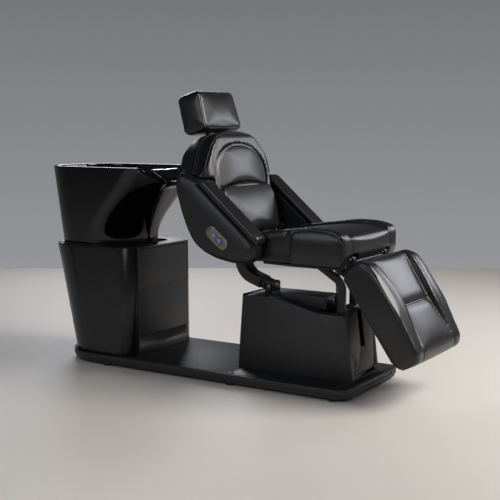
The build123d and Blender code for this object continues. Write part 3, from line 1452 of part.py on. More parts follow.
def wing_parts():
    """Wings, armrest pads, control plate and its two buttons."""
    wing = side_shape(wing_outline_shares, wing_radius_shares, wing_inner_y, wing_outer_y)
    pad = side_shape(armrest_outline_shares, armrest_radius_shares, armrest_inner_y, armrest_outer_y)
    outer = wing.edges().filter_by_position(Axis.Y, wing_outer_y, wing_outer_y).sort_by(Axis.X)
    wing = fillet(outer, wing_edge_radius)
    wing -= pad
    wing_left = wing
    wing_right = mirror(wing, Plane.XZ)
    pad_right = mirror(pad, Plane.XZ)

    face = -wing_outer_y
    plate_low = face - control_proud
    plate_high = plate_low + control_thickness
    plate = control_oval(control_length, control_width, plate_low, plate_high)
    wing_right -= control_oval(control_length + slip_clearance, control_width + slip_clearance,
                               plate_low - overrun, plate_high)
    buttons = []
    turn = radians(control_tilt)
    for side in (-1, 1):
        x = control_x + side * button_spacing / 2 * cos(turn)
        z = control_z - side * button_spacing / 2 * sin(turn)
        hole = rod_y(x, z, button_radius + button_rim_gap, plate_low - overrun, face + button_well_depth)
        plate -= hole
        wing_right -= hole
        low = plate_low - button_proud
        buttons.append(rod_y(x, z, button_radius, low, low + button_length))
    return {
        "wing_right": [wing_right],
        "wing_left": [wing_left],
        "armrest_pad_right": [pad_right],
        "armrest_pad_left": [pad],
        "control_plate": [plate],
        "button_recline": [buttons[0]],
        "button_raise": [buttons[1]],
    }


def hang(shape):
    """Puts a piece drawn on the flat legrest in its hanging place."""
    return Pos(leg_origin_x, 0, leg_origin_z) * Rot(0, leg_angle, 0) * shape


def leg_local(x, z):
    """A side-view point given in the flat legrest's own directions."""
    turn = radians(leg_angle)
    along = (x - leg_origin_x) * cos(turn) - (z - leg_origin_z) * sin(turn)
    out = (x - leg_origin_x) * sin(turn) + (z - leg_origin_z) * cos(turn)
    return along, out


def legrest_parts():
    """Legrest hinge arms, board and cushion."""
    cushion = side_slab(leg_side_corners, leg_side_radii, -seat_half_width, seat_half_width)
    right = [(x, -y) for x, y in leg_plan_corners]
    left = [(x, y) for x, y in leg_plan_corners[::-1]]
    plan = right + left
    plan_radii = leg_plan_radii + leg_plan_radii[::-1]
    cushion &= plan_slab(plan, plan_radii, leg_board_front - overrun, leg_roll_front + overrun)
    wide = max(y for x, y in leg_plan_corners)
    crown = wide * wide / 2 / leg_crown
    cushion &= rod_x(0, leg_roll_front - crown, crown, leg_top - overrun, leg_foot + overrun)
    groove = leg_seam_width / 2
    cut_low = leg_front - leg_seam_depth
    cut_high = leg_roll_front + overrun
    panel = [(x, -y) for x, y in leg_seam_corners] + [(x, y) for x, y in leg_seam_corners[::-1]]
    sunk = plan_slab(panel, (0,) * 6, leg_front - leg_crown, cut_high)
    cushion -= sunk - rod_x(0, leg_front - crown, crown, leg_top - overrun * 2, leg_foot + overrun * 2)
    for side in (-1, 1):
        inner = [(x, side * (y - groove)) for x, y in leg_seam_corners]
        outer = [(x, side * (y + groove)) for x, y in leg_seam_corners[::-1]]
        cushion -= plan_slab(inner + outer, (0,) * 6, cut_low - leg_crown / 2, cut_high)
    cross_x, cross_half = leg_seam_corners[1]
    cushion -= block(cross_x - groove, cross_x + groove, -cross_half, cross_half, cut_low, cut_high)

    board_plan = plan_corners(leg_board_top, leg_side_corners[6][0] - leg_board_inset,
                              leg_plan_corners[0][1] - leg_board_inset)
    board = plan_slab(board_plan, (leg_plan_radii[-1],) * 2 + (leg_board_inset,) * 2, leg_board_rear,
                      leg_board_front)
    hinge = leg_local(leg_hinge_x, leg_hinge_z)
    path = [hinge, (leg_arm_start, leg_arm_rear), (leg_arm_end, leg_arm_rear)]
    half = leg_arm_thickness / 2

    def leg_arm(y_low, y_high):
        bar = bent_bar(path, leg_arm_width, leg_arm_bend, y_low, y_high)
        bar += rod_y(*hinge, leg_boss_radius, y_low, y_high)
        return bar - rod_y(*hinge, leg_pin_radius + pin_clearance, y_low - overrun, y_high + overrun)

    arms = []
    for side in (-1, 1):
        bar = leg_arm(side * leg_arm_y - half, side * leg_arm_y + half)
        arms.append(bar)
    return {
        "legrest_arms": [hang(arm) for arm in arms],
        "legrest_board": [hang(board)],
        "legrest_cushion": [hang(cushion)],
    }


def export_all(parts):
    """Moves the origin under the middle of the whole and writes each node's solids to its own file."""
    os.makedirs("parts", exist_ok=True)
    front_x = parts["legrest_cushion"][0].bounding_box().max.X
    shift = Pos(-(basin_rim_rear_x + front_x) / 2, 0, 0)
    for name, pieces in parts.items():
        solids = [shift * solid for piece in pieces for solid in piece.solids()]
        export_step(Compound(children=solids), os.path.join("parts", name + ".step"))


def build():
    """All nodes, as a name to a list of shapes."""
    parts = {}
    parts.update(floor_parts())
    parts.update(cabinet_parts())
    parts.update(basin_parts())
    parts.update(pedestal_parts())
    parts.update(carriage_parts())
    parts.update(seat_parts())
    parts.update(back_parts())
    parts.update(wing_parts())
    parts.update(legrest_parts())
    return parts


export_all(build())
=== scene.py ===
"""Looks of a hair washing bed: basin cabinet and reclining chair on one floor plate."""

import json
import logging
import math
from dataclasses import dataclass, field
from enum import Enum
from typing import Callable, Sequence

import bmesh
import bpy
import numpy as np
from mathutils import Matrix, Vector
from mathutils.bvhtree import BVHTree
from mathutils.kdtree import KDTree

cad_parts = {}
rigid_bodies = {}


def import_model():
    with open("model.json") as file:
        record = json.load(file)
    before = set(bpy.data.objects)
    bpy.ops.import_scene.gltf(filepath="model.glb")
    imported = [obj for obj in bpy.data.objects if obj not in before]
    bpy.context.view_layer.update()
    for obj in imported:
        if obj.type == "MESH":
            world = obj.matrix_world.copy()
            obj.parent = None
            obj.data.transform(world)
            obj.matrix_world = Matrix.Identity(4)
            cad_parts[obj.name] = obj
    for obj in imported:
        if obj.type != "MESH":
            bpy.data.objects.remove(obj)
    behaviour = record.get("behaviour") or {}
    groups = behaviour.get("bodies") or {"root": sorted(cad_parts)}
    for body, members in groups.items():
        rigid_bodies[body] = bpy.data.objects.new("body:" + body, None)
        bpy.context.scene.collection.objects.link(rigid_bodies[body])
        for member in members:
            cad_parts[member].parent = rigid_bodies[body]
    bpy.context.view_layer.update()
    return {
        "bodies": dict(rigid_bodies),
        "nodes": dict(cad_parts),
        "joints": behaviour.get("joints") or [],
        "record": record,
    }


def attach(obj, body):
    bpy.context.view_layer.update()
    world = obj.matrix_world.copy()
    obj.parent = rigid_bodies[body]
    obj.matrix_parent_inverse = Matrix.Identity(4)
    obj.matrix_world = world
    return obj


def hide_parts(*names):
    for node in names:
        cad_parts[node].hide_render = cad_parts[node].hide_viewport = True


log = logging.getLogger("hair_washing_bed")

MM = 0.001

# Shift along x from the building sizes to the shared frame
X_SHIFT_MM = -429.59

# Seams: spacing of their points, and how near a vertex is held while a skin is filled
SEAM_STEP_MM = 3.0
SEAM_HOLD_M = 0.006

# Stitches: spacing of their points, points in a stitch, points from one stitch to the next
STITCH_STEP_MM = 1.5
STITCH_POINTS = 5
STITCH_PITCH = 6
STITCH_RADII_MM = (0.35, 0.6, 0.7, 0.6, 0.35)

# Puckers: distance of their crest from the seam, their width and end, and the size, length and phase of
# each wave along the seam
PUCKER_AWAY_M = 0.010
PUCKER_WIDTH_M = 0.011
PUCKER_END_MM = 40.0
PUCKER_WAVES = ((1.0, 4.1, 0.0), (0.6, 2.3, 1.7), (0.5, 9.7, 0.0))


def colour(hex_code: str) -> tuple[float, float, float, float]:
    """Turns an sRGB hex colour into linear RGBA.

    Args:
        hex_code: Colour such as "#1a1b1c".

    Returns:
        Linear red, green, blue and alpha.
    """
    channels = [int(hex_code[i:i + 2], 16) / 255 for i in (1, 3, 5)]
    linear = [c / 12.92 if c <= 0.04045 else ((c + 0.055) / 1.055) ** 2.4 for c in channels]
    return (linear[0], linear[1], linear[2], 1.0)


def node(tree: bpy.types.NodeTree, kind: str, settings: dict | None = None,
         links: dict | None = None) -> bpy.types.Node:
    """Adds a shader node.

    Args:
        tree: Node tree that gets the node.
        kind: Blender's node type name.
        settings: Attribute or input names with their values.
        links: Input names with the output sockets that feed them.

    Returns:
        The new node.
    """
    made = tree.nodes.new(kind)
    for name, value in (settings or {}).items():
        if isinstance(name, str) and hasattr(made, name):
            setattr(made, name, value)
        else:
            made.inputs[name].default_value = value
    for name, socket in (links or {}).items():
        tree.links.new(socket, made.inputs[name])
    return made


class Grain(Enum):
    """How a surface was given its fine texture."""

    LEATHER = "leather"
    POWDER = "powder"
    SMOOTH = "smooth"
    BRUSHED = "brushed"
    BLASTED = "blasted"
    WOOD = "wood"


@dataclass(frozen=True)
class Finish:
    """One finish: what it is, how it was made and how light meets it.

    Pattern sizes are real sizes in millimetres.
    """

    name: str
    base: str
    shade: str
    grain: Grain
    roughness: float
    roughness_spread: float = 0.08
    metallic: float = 0.0
    ior: float = 1.5
    coat: float = 0.0
    coat_roughness: float = 0.05
    pattern_mm: float = 2.0
    bump_mm: float = 0.05
    blotch_mm: float = 120.0
    edge_wear: float = 0.0

    def material(self) -> bpy.types.Material:
        """Makes the material, or gives the one already made.

        Returns:
            The material.
        """
        found = bpy.data.materials.get(self.name)
        if found is not None:
            return found
        made = bpy.data.materials.new(self.name)
        made.use_nodes = True
        tree = made.node_tree
        tree.nodes.clear()
        where = node(tree, "ShaderNodeTexCoord").outputs["Object"]
        blotch = node(tree, "ShaderNodeTexNoise", {"Scale": 1 / (self.blotch_mm * MM), "Detail": 3.0},
                      {"Vector": where})
        height = self.height(tree, where)
        tone = node(tree, "ShaderNodeMapRange", {"From Min": 0.3, "From Max": 0.7},
                    {"Value": blotch.outputs[0]})
        base = node(tree, "ShaderNodeMix", {"data_type": "RGBA"}, {"Factor": tone.outputs[0]})
        base.inputs[6].default_value = colour(self.base)
        base.inputs[7].default_value = colour(self.shade)
        surface = base.outputs[2]
        if self.edge_wear > 0:
            surface = self.worn(tree, surface)
        rough = node(tree, "ShaderNodeMapRange",
                     {"To Min": self.roughness - self.roughness_spread / 2,
                      "To Max": self.roughness + self.roughness_spread / 2}, {"Value": height})
        bump = node(tree, "ShaderNodeBump", {"Strength": 1.0, "Distance": self.bump_mm * MM},
                    {"Height": height})
        shader = node(tree, "ShaderNodeBsdfPrincipled",
                      {"Metallic": self.metallic, "IOR": self.ior, "Coat Weight": self.coat,
                       "Coat Roughness": self.coat_roughness},
                      {"Base Color": surface, "Roughness": rough.outputs[0], "Normal": bump.outputs[0]})
        node(tree, "ShaderNodeOutputMaterial", links={"Surface": shader.outputs[0]})
        return made

    def worn(self, tree: bpy.types.NodeTree, surface: bpy.types.NodeSocket) -> bpy.types.NodeSocket:
        """Rubs convex edges a little paler.

        Args:
            tree: Material's node tree.
            surface: Colour before wear.

        Returns:
            Colour with rubbed edges.
        """
        point = node(tree, "ShaderNodeNewGeometry").outputs["Pointiness"]
        edge = node(tree, "ShaderNodeMapRange", {"From Min": 0.52, "From Max": 0.6, "To Max": self.edge_wear},
                    {"Value": point})
        mixed = node(tree, "ShaderNodeMix", {"data_type": "RGBA"}, {"Factor": edge.outputs[0]})
        tree.links.new(surface, mixed.inputs[6])
        mixed.inputs[7].default_value = colour("#8c8c8a")
        return mixed.outputs[2]

    def height(self, tree: bpy.types.NodeTree, where: bpy.types.NodeSocket) -> bpy.types.NodeSocket:
        """Fine relief of the surface, from 0 to 1.

        Args:
            tree: Material's node tree.
            where: Coordinates fixed to the piece.

        Returns:
            The height socket.
        """
        scale = 1 / (self.pattern_mm * MM)
        if self.grain is Grain.LEATHER:
            cells = node(tree, "ShaderNodeTexVoronoi", {"feature": "SMOOTH_F1", "Scale": scale},
                         {"Vector": where})
            pores = node(tree, "ShaderNodeTexNoise", {"Scale": scale * 0.35, "Detail": 4.0},
                         {"Vector": where})
            return node(tree, "ShaderNodeMath", {"operation": "MULTIPLY_ADD", 2: 0.2},
                        {0: cells.outputs["Distance"], 1: pores.outputs[0]}).outputs[0]
        if self.grain is Grain.BRUSHED:
            stretched = node(tree, "ShaderNodeMapping", {"Scale": (1.0, 1.0, 0.04)}, {"Vector": where})
            return node(tree, "ShaderNodeTexNoise", {"Scale": scale, "Detail": 2.0},
                        {"Vector": stretched.outputs[0]}).outputs[0]
        if self.grain is Grain.WOOD:
            stretched = node(tree, "ShaderNodeMapping", {"Scale": (0.15, 1.0, 1.0)}, {"Vector": where})
            return node(tree, "ShaderNodeTexWave", {"Scale": scale, "Distortion": 6.0, "Detail": 3.0},
                        {"Vector": stretched.outputs[0]}).outputs[1]
        detail = 1.0 if self.grain is Grain.SMOOTH else 5.0
        fine = node(tree, "ShaderNodeTexNoise", {"Scale": scale, "Detail": detail}, {"Vector": where})
        return fine.outputs[0]


# Black smooth-grained upholstery leather, dyed through and top-coated: pores of about a millimetre, here
# drawn at 1.6 so that they show, and a soft satin shine that is broken up by the grain.
UPHOLSTERY_LEATHER = Finish("upholstery_leather_embossed", "#131415", "#191a1c", Grain.LEATHER, 0.34, 0.12,
                            pattern_mm=1.6, bump_mm=0.12, blotch_mm=90.0)
# The same hide drawn tight over a hard shell, so its grain is flatter and its shine a little lower.
SHELL_LEATHER = Finish("shell_leather_embossed", "#131416", "#1a1b1e", Grain.LEATHER, 0.44, 0.12,
                       pattern_mm=1.6, bump_mm=0.08, blotch_mm=120.0)
# Steel sheet with a fine-textured satin powder coat: 1 mm orange peel, no clear gloss.
POWDER_COAT = Finish("steel_powder_coated", "#131415", "#17181a", Grain.POWDER, 0.5, 0.08, pattern_mm=1.2,
                     bump_mm=0.03, blotch_mm=260.0, edge_wear=0.12)
# Formed cabinet sheet with a half-gloss lacquer: long soft reflections with a slight peel.
CABINET_LACQUER = Finish("steel_lacquered", "#0f1011", "#131517", Grain.SMOOTH, 0.28, 0.05, pattern_mm=6.0,
                         bump_mm=0.015, blotch_mm=300.0)
# Fired ceramic with a deep black glaze: mirror-like with a faint waviness from the glaze's flow.
BLACK_GLAZE = Finish("ceramic_glazed", "#040405", "#070708", Grain.SMOOTH, 0.06, 0.02, pattern_mm=30.0,
                     bump_mm=0.05)
# Cast silicone gel of the neck rest: soft, wet-looking and slightly uneven.
CAST_GEL = Finish("silicone_gel_cast", "#0b0b0c", "#101012", Grain.SMOOTH, 0.16, 0.05, pattern_mm=14.0,
                  bump_mm=0.2, coat=0.6, coat_roughness=0.1)
# Polished chromium plate on brass: bright with hardly any texture.
CHROME_PLATE = Finish("chromium_plated", "#c9ccd0", "#bfc2c6", Grain.SMOOTH, 0.06, 0.03, metallic=1.0,
                      pattern_mm=20.0, bump_mm=0.01)
# Lathe-turned steel of pins and rods: fine rings that stretch the highlights.
TURNED_STEEL = Finish("steel_turned", "#8d9094", "#7c7f83", Grain.BRUSHED, 0.3, 0.15, metallic=1.0,
                      pattern_mm=0.8, bump_mm=0.02)
# Welded steel frame under black paint: dull with slight runs.
PAINTED_STEEL = Finish("steel_painted", "#101113", "#151618", Grain.POWDER, 0.38, 0.1, pattern_mm=3.0,
                       bump_mm=0.04, blotch_mm=80.0, edge_wear=0.15)
# Injection-moulded ABS with a fine spark-eroded texture: even and matt.
MOULDED_ABS = Finish("abs_moulded", "#101112", "#141516", Grain.POWDER, 0.52, 0.08, pattern_mm=0.9,
                     bump_mm=0.03, blotch_mm=60.0)
# Gloss-moulded ABS of the spray's handle: smoother, with a low waviness.
GLOSS_ABS = Finish("abs_gloss_moulded", "#0d0d0e", "#111112", Grain.SMOOTH, 0.15, 0.04, pattern_mm=12.0,
                   bump_mm=0.02, coat=0.3)
# Moulded rubber of feet and gasket: dull and dusty.
MOULDED_RUBBER = Finish("rubber_moulded", "#161616", "#1d1d1d", Grain.POWDER, 0.75, 0.1, pattern_mm=1.5,
                        bump_mm=0.05, blotch_mm=30.0)
# Die-cast aluminium, bead-blasted and dyed a warm grey: a soft sparkle without reflections.
BLASTED_ALUMINIUM = Finish("aluminium_bead_blasted", "#8b857a", "#7e786e", Grain.BLASTED, 0.42, 0.1,
                           metallic=0.85, pattern_mm=0.6, bump_mm=0.03, blotch_mm=25.0)
# Drain pipe extruded in grey PVC.
EXTRUDED_PVC = Finish("pvc_extruded", "#8d8f90", "#86888a", Grain.SMOOTH, 0.4, 0.06, pattern_mm=10.0,
                      bump_mm=0.02)
# Drawn brass of the supply pipes, slightly tarnished.
DRAWN_BRASS = Finish("brass_drawn", "#b39a5c", "#9c8449", Grain.BRUSHED, 0.32, 0.12, metallic=1.0,
                     pattern_mm=1.0, bump_mm=0.02, blotch_mm=20.0)
# Birch plywood of the boards under the cushions, stained black: dull, with the grain just felt.
STAINED_BIRCH = Finish("birch_plywood_stained", "#131211", "#1b1917", Grain.WOOD, 0.6, 0.1, pattern_mm=9.0,
                       bump_mm=0.05, blotch_mm=70.0)
# Bonded polyester thread of the seams, spun and waxed.
WAXED_THREAD = Finish("polyester_thread_waxed", "#26272a", "#303135", Grain.POWDER, 0.5, 0.1, pattern_mm=0.6,
                      bump_mm=0.04)
# Opal diffuser in front of the button's lamps, moulded polycarbonate, lit blue from behind.
LIT_BLUE = "polycarbonate_opal_lit"


def lit_ring() -> bpy.types.Material:
    """Material of the lit ring in a button: blue light seen through a milky diffuser."""
    found = bpy.data.materials.get(LIT_BLUE)
    if found is not None:
        return found
    made = bpy.data.materials.new(LIT_BLUE)
    made.use_nodes = True
    tree = made.node_tree
    tree.nodes.clear()
    where = node(tree, "ShaderNodeTexCoord").outputs["Object"]
    cloud = node(tree, "ShaderNodeTexNoise", {"Scale": 400.0}, {"Vector": where})
    rough = node(tree, "ShaderNodeMapRange", {"To Min": 0.25, "To Max": 0.4}, {"Value": cloud.outputs[0]})
    shader = node(tree, "ShaderNodeBsdfPrincipled",
                  {"Base Color": colour("#2a4fae"), "Emission Color": colour("#4f7dff"),
                   "Emission Strength": 1.2},
                  {"Roughness": rough.outputs[0]})
    node(tree, "ShaderNodeOutputMaterial", links={"Surface": shader.outputs[0]})
    return made


def points_of(obj: bpy.types.Object) -> np.ndarray:
    """Vertex places of a mesh as an array of rows, in metres.

    Args:
        obj: Mesh object.

    Returns:
        Array of shape (vertices, 3).
    """
    places = np.empty(len(obj.data.vertices) * 3)
    obj.data.vertices.foreach_get("co", places)
    return places.reshape(-1, 3)


def normals_of(obj: bpy.types.Object) -> np.ndarray:
    """Vertex normals of a mesh as an array of rows.

    Args:
        obj: Mesh object.

    Returns:
        Array of shape (vertices, 3).
    """
    found = np.empty(len(obj.data.vertices) * 3)
    obj.data.vertices.foreach_get("normal", found)
    return found.reshape(-1, 3)


def place_points(obj: bpy.types.Object, places: np.ndarray) -> None:
    """Moves a mesh's vertices.

    Args:
        obj: Mesh object.
        places: New places, one row per vertex.
    """
    obj.data.vertices.foreach_set("co", places.ravel())
    obj.data.update()


def cast(mould: bmesh.types.BMesh, name: str) -> bpy.types.Object:
    """Turns a mould into an object of the scene, and frees the mould.

    Args:
        mould: Faces of the object.
        name: Name of the object and of its mesh.

    Returns:
        The new object, without a material.
    """
    mesh = bpy.data.meshes.new(name)
    mould.to_mesh(mesh)
    mould.free()
    mesh.materials.clear()
    made = bpy.data.objects.new(name, mesh)
    bpy.context.scene.collection.objects.link(made)
    return made


def tree_of(points: Sequence[Vector | tuple[float, float, float]]) -> KDTree:
    """Makes a search tree over points, numbered in their order.

    Args:
        points: Points in metres.

    Returns:
        The tree, ready for searches.
    """
    tree = KDTree(len(points))
    for k, p in enumerate(points):
        tree.insert(p, k)
    tree.balance()
    return tree


def building_point(x: float, y: float, z: float) -> Vector:
    """Point of the scene, in metres, from building sizes in millimetres."""
    return Vector((x + X_SHIFT_MM, y, z)) * MM


def copy_of(name: str, nodes: tuple[str, ...], frame: dict) -> bpy.types.Object:
    """Copies CAD nodes' meshes into one new object.

    Args:
        name: New object's name.
        nodes: CAD nodes to copy.

    Returns:
        The new object, in the same place as the nodes.
    """
    mould = bmesh.new()
    for each in nodes:
        mould.from_mesh(frame["nodes"][each].data)
    bmesh.ops.remove_doubles(mould, verts=mould.verts, dist=0.02 * MM)
    return cast(mould, name)


def apply_modifier(obj: bpy.types.Object) -> None:
    """Applies all of an object's modifiers to its mesh.

    Args:
        obj: Mesh object.
    """
    graph = bpy.context.evaluated_depsgraph_get()
    graph.update()
    solid = bpy.data.meshes.new_from_object(obj.evaluated_get(graph))
    obj.modifiers.clear()
    old = obj.data
    obj.data = solid
    bpy.data.meshes.remove(old)


def remesh(obj: bpy.types.Object, voxel_mm: float, smooth_steps: int) -> None:
    """Gives a mesh an even skin of small faces and softens its corners.

    Args:
        obj: Mesh object.
        voxel_mm: Size of the new faces.
        smooth_steps: How many times each vertex moves half-way to its neighbours' middle.
    """
    skin = obj.modifiers.new("skin", "REMESH")
    skin.mode = "VOXEL"
    skin.voxel_size = voxel_mm * MM
    skin.use_smooth_shade = True
    if smooth_steps:
        soften = obj.modifiers.new("soften", "SMOOTH")
        soften.factor = 0.5
        soften.iterations = smooth_steps
    apply_modifier(obj)


def even_path(points: list[Vector], closed: bool, step_mm: float, rounds: int = 2) -> list[Vector]:
    """Resamples a line of points at an even spacing and rounds its corners.

    Args:
        points: Points of the line.
        closed: Whether the end joins the start.
        step_mm: Spacing of the new points.
        rounds: How often the corners are averaged away.

    Returns:
        The new points.
    """
    line = np.array([tuple(p) for p in points], float)
    if closed:
        line = np.vstack([line, line[:1]])
    lengths = np.concatenate([[0.0], np.cumsum(np.linalg.norm(np.diff(line, axis=0), axis=1))])
    keep = np.concatenate([[True], np.diff(lengths) > 1e-9])
    line, lengths = line[keep], lengths[keep]
    count = max(4, int(lengths[-1] / (step_mm * MM)))
    where = np.linspace(0, lengths[-1], count + 1)
    even = np.stack([np.interp(where, lengths, line[:, k]) for k in range(3)], axis=1)
    if closed:
        even = even[:-1]
    for _ in range(rounds):
        before, after = np.roll(even, 1, axis=0), np.roll(even, -1, axis=0)
        softer = (before + even * 2 + after) / 4
        if not closed:
            softer[0], softer[-1] = even[0], even[-1]
        even = softer
    return [Vector(p) for p in even]


@dataclass
class Seam:
    """A sewn line: where it runs, and what is sewn there.

    The line is shot onto the skin from each point towards its aim.
    """

    points: list[Vector]
    aims: list[Vector]
    closed: bool = False
    groove_mm: float = 2.5
    groove_half_mm: float = 4.0
    valley_mm: float = 0.0
    valley_half_mm: float = 22.0
    welt_mm: float = 0.0
    stitch_offsets_mm: tuple[float, ...] = ()
    pucker_mm: float = 0.0
    line: list[Vector] = field(default_factory=list)
    normals: list[Vector] = field(default_factory=list)

    def find(self, skin: BVHTree) -> None:
        """Finds the line and its outward normals on the skin.

        Args:
            skin: Search tree of the skin.
        """
        hits = []
        for start, aim in zip(self.points, self.aims):
            place = skin.ray_cast(start, (aim - start).normalized())[0]
            if place is not None:
                hits.append(place)
        self.line = even_path(hits, self.closed, SEAM_STEP_MM, rounds=6) if len(hits) > 3 else []
        self.normals = []
        for k, place in enumerate(self.line):
            near, normal = skin.find_nearest(place)[:2]
            self.line[k] = near
            self.normals.append(normal)


def towards(points: list[Vector], direction: Vector, reach: float = 0.5) -> tuple[list[Vector], list[Vector]]:
    """Starts and aims that shoot points along one direction.

    Args:
        points: Points of a line, anywhere along the direction.
        direction: Way the shots go.
        reach: How far outside each shot starts, in metres.

    Returns:
        Starts and aims.
    """
    way = direction.normalized()
    return [p - way * reach for p in points], [p + way * reach for p in points]


def sew(obj: bpy.types.Object, seams: list[Seam]) -> None:
    """Draws the skin in along its seams, with small puckers across them.

    Args:
        obj: Skin, already remeshed.
        seams: Seams whose lines have been found.
    """
    places, outward = points_of(obj), normals_of(obj)
    shift = np.zeros(len(places))
    for seam in seams:
        if not seam.line:
            continue
        tree = tree_of(seam.line)
        reach = max(seam.groove_half_mm * 3, seam.valley_half_mm * 2.5 if seam.valley_mm else 0.0,
                    PUCKER_END_MM if seam.pucker_mm else 0.0) * MM
        box_low = np.min([tuple(p) for p in seam.line], axis=0) - reach
        box_high = np.max([tuple(p) for p in seam.line], axis=0) + reach
        near = np.where(np.all((places > box_low) & (places < box_high), axis=1))[0]
        for k in near:
            _, index, gap = tree.find(places[k])
            if gap > reach:
                continue
            facing = max(0.0, float(np.dot(outward[k], seam.normals[index])))
            drop = seam.groove_mm * math.exp(-(gap / (seam.groove_half_mm * MM)) ** 2)
            drop += seam.valley_mm * math.exp(-(gap / (seam.valley_half_mm * MM)) ** 2)
            if seam.pucker_mm:
                along = index * SEAM_STEP_MM
                wave = sum(size * math.sin(along / length + phase) for size, length, phase in PUCKER_WAVES)
                drop += seam.pucker_mm * wave * math.exp(-((gap - PUCKER_AWAY_M) / PUCKER_WIDTH_M) ** 2)
            shift[k] = max(shift[k], drop * facing) if drop > 0 else shift[k] + drop * facing
    place_points(obj, places - outward * (shift * MM)[:, None])


def sweep_ring(mould: bmesh.types.BMesh, line: list[Vector], radii: list[float], closed: bool,
               sides: int) -> None:
    """Adds a round tube along a line to a mesh.

    Args:
        mould: Mesh that gets the tube.
        line: Middle line.
        radii: Radius at each point, in metres.
        closed: Whether the tube is a ring.
        sides: How many sides its section has.
    """
    count = len(line)
    rings = []
    side = None
    for k in range(count):
        before = line[k - 1] if closed or k > 0 else line[0]
        after = line[(k + 1) % count] if closed or k < count - 1 else line[-1]
        way = (after - before).normalized()
        if side is None:
            side = way.orthogonal().normalized()
        side = (side - way * side.dot(way)).normalized()
        other = way.cross(side)
        ring = []
        for j in range(sides):
            turn = 2 * math.pi * j / sides
            out = side * math.cos(turn) + other * math.sin(turn)
            ring.append(mould.verts.new(line[k] + out * radii[k]))
        rings.append(ring)
    last = count if closed else count - 1
    for k in range(last):
        one, two = rings[k], rings[(k + 1) % count]
        shift = 0
        if closed and k == count - 1:
            shift = min(range(sides), key=lambda j: (two[j].co - one[0].co).length)
        for j in range(sides):
            mould.faces.new((one[j], one[(j + 1) % sides], two[(j + 1 + shift) % sides],
                             two[(j + shift) % sides]))
    if not closed:
        mould.faces.new(rings[0][::-1])
        mould.faces.new(rings[-1])


def finish_piece(obj: bpy.types.Object, body: str, look: bpy.types.Material) -> bpy.types.Object:
    """Gives a piece smooth shading, its material and the body that it moves with.

    Args:
        obj: Piece.
        body: CAD body.
        look: Material.

    Returns:
        The same piece.
    """
    obj.data.polygons.foreach_set("use_smooth", [True] * len(obj.data.polygons))
    obj.data.materials.clear()
    obj.data.materials.append(look)
    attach(obj, body)
    log.info("%s: %d faces on %s", obj.name, len(obj.data.polygons), body)
    return obj


def puff(obj: bpy.types.Object, held: np.ndarray, pressure: float, cap_mm: float, frames: int) -> None:
    """Fills a skin from inside with simulated cloth, and keeps the result.

    Args:
        obj: Skin.
        held: Which vertices stay where they are.
        pressure: Blender's uniform pressure.
        cap_mm: The most that a vertex moves.
        frames: Steps of the simulation.
    """
    start = points_of(obj)
    group = obj.vertex_groups.new(name="held")
    group.add([int(k) for k in np.where(held)[0]], 1.0, "REPLACE")
    cloth = obj.modifiers.new("filling", "CLOTH")
    cloth.settings.quality = 4
    cloth.settings.mass = 0.3
    cloth.settings.tension_stiffness = 22.0
    cloth.settings.compression_stiffness = 22.0
    cloth.settings.shear_stiffness = 8.0
    cloth.settings.bending_stiffness = 1.5
    cloth.settings.use_pressure = True
    cloth.settings.uniform_pressure_force = pressure
    cloth.settings.vertex_group_mass = "held"
    cloth.settings.effector_weights.gravity = 0.0
    cloth.collision_settings.use_collision = False
    cloth.collision_settings.use_self_collision = False
    cloth.point_cache.frame_start = 1
    cloth.point_cache.frame_end = frames
    scene = bpy.context.scene
    for step in range(1, frames + 1):
        scene.frame_set(step)
    graph = bpy.context.evaluated_depsgraph_get()
    swollen = obj.evaluated_get(graph).to_mesh()
    end = np.empty(len(start) * 3)
    swollen.vertices.foreach_get("co", end)
    obj.modifiers.clear()
    scene.frame_set(1)
    travel = end.reshape(-1, 3) - start
    length = np.maximum(np.linalg.norm(travel, axis=1), 1e-9)
    capped = np.minimum(length, cap_mm * MM * np.tanh(length / (cap_mm * MM)))
    place_points(obj, start + travel * (capped / length)[:, None])
    obj.vertex_groups.clear()


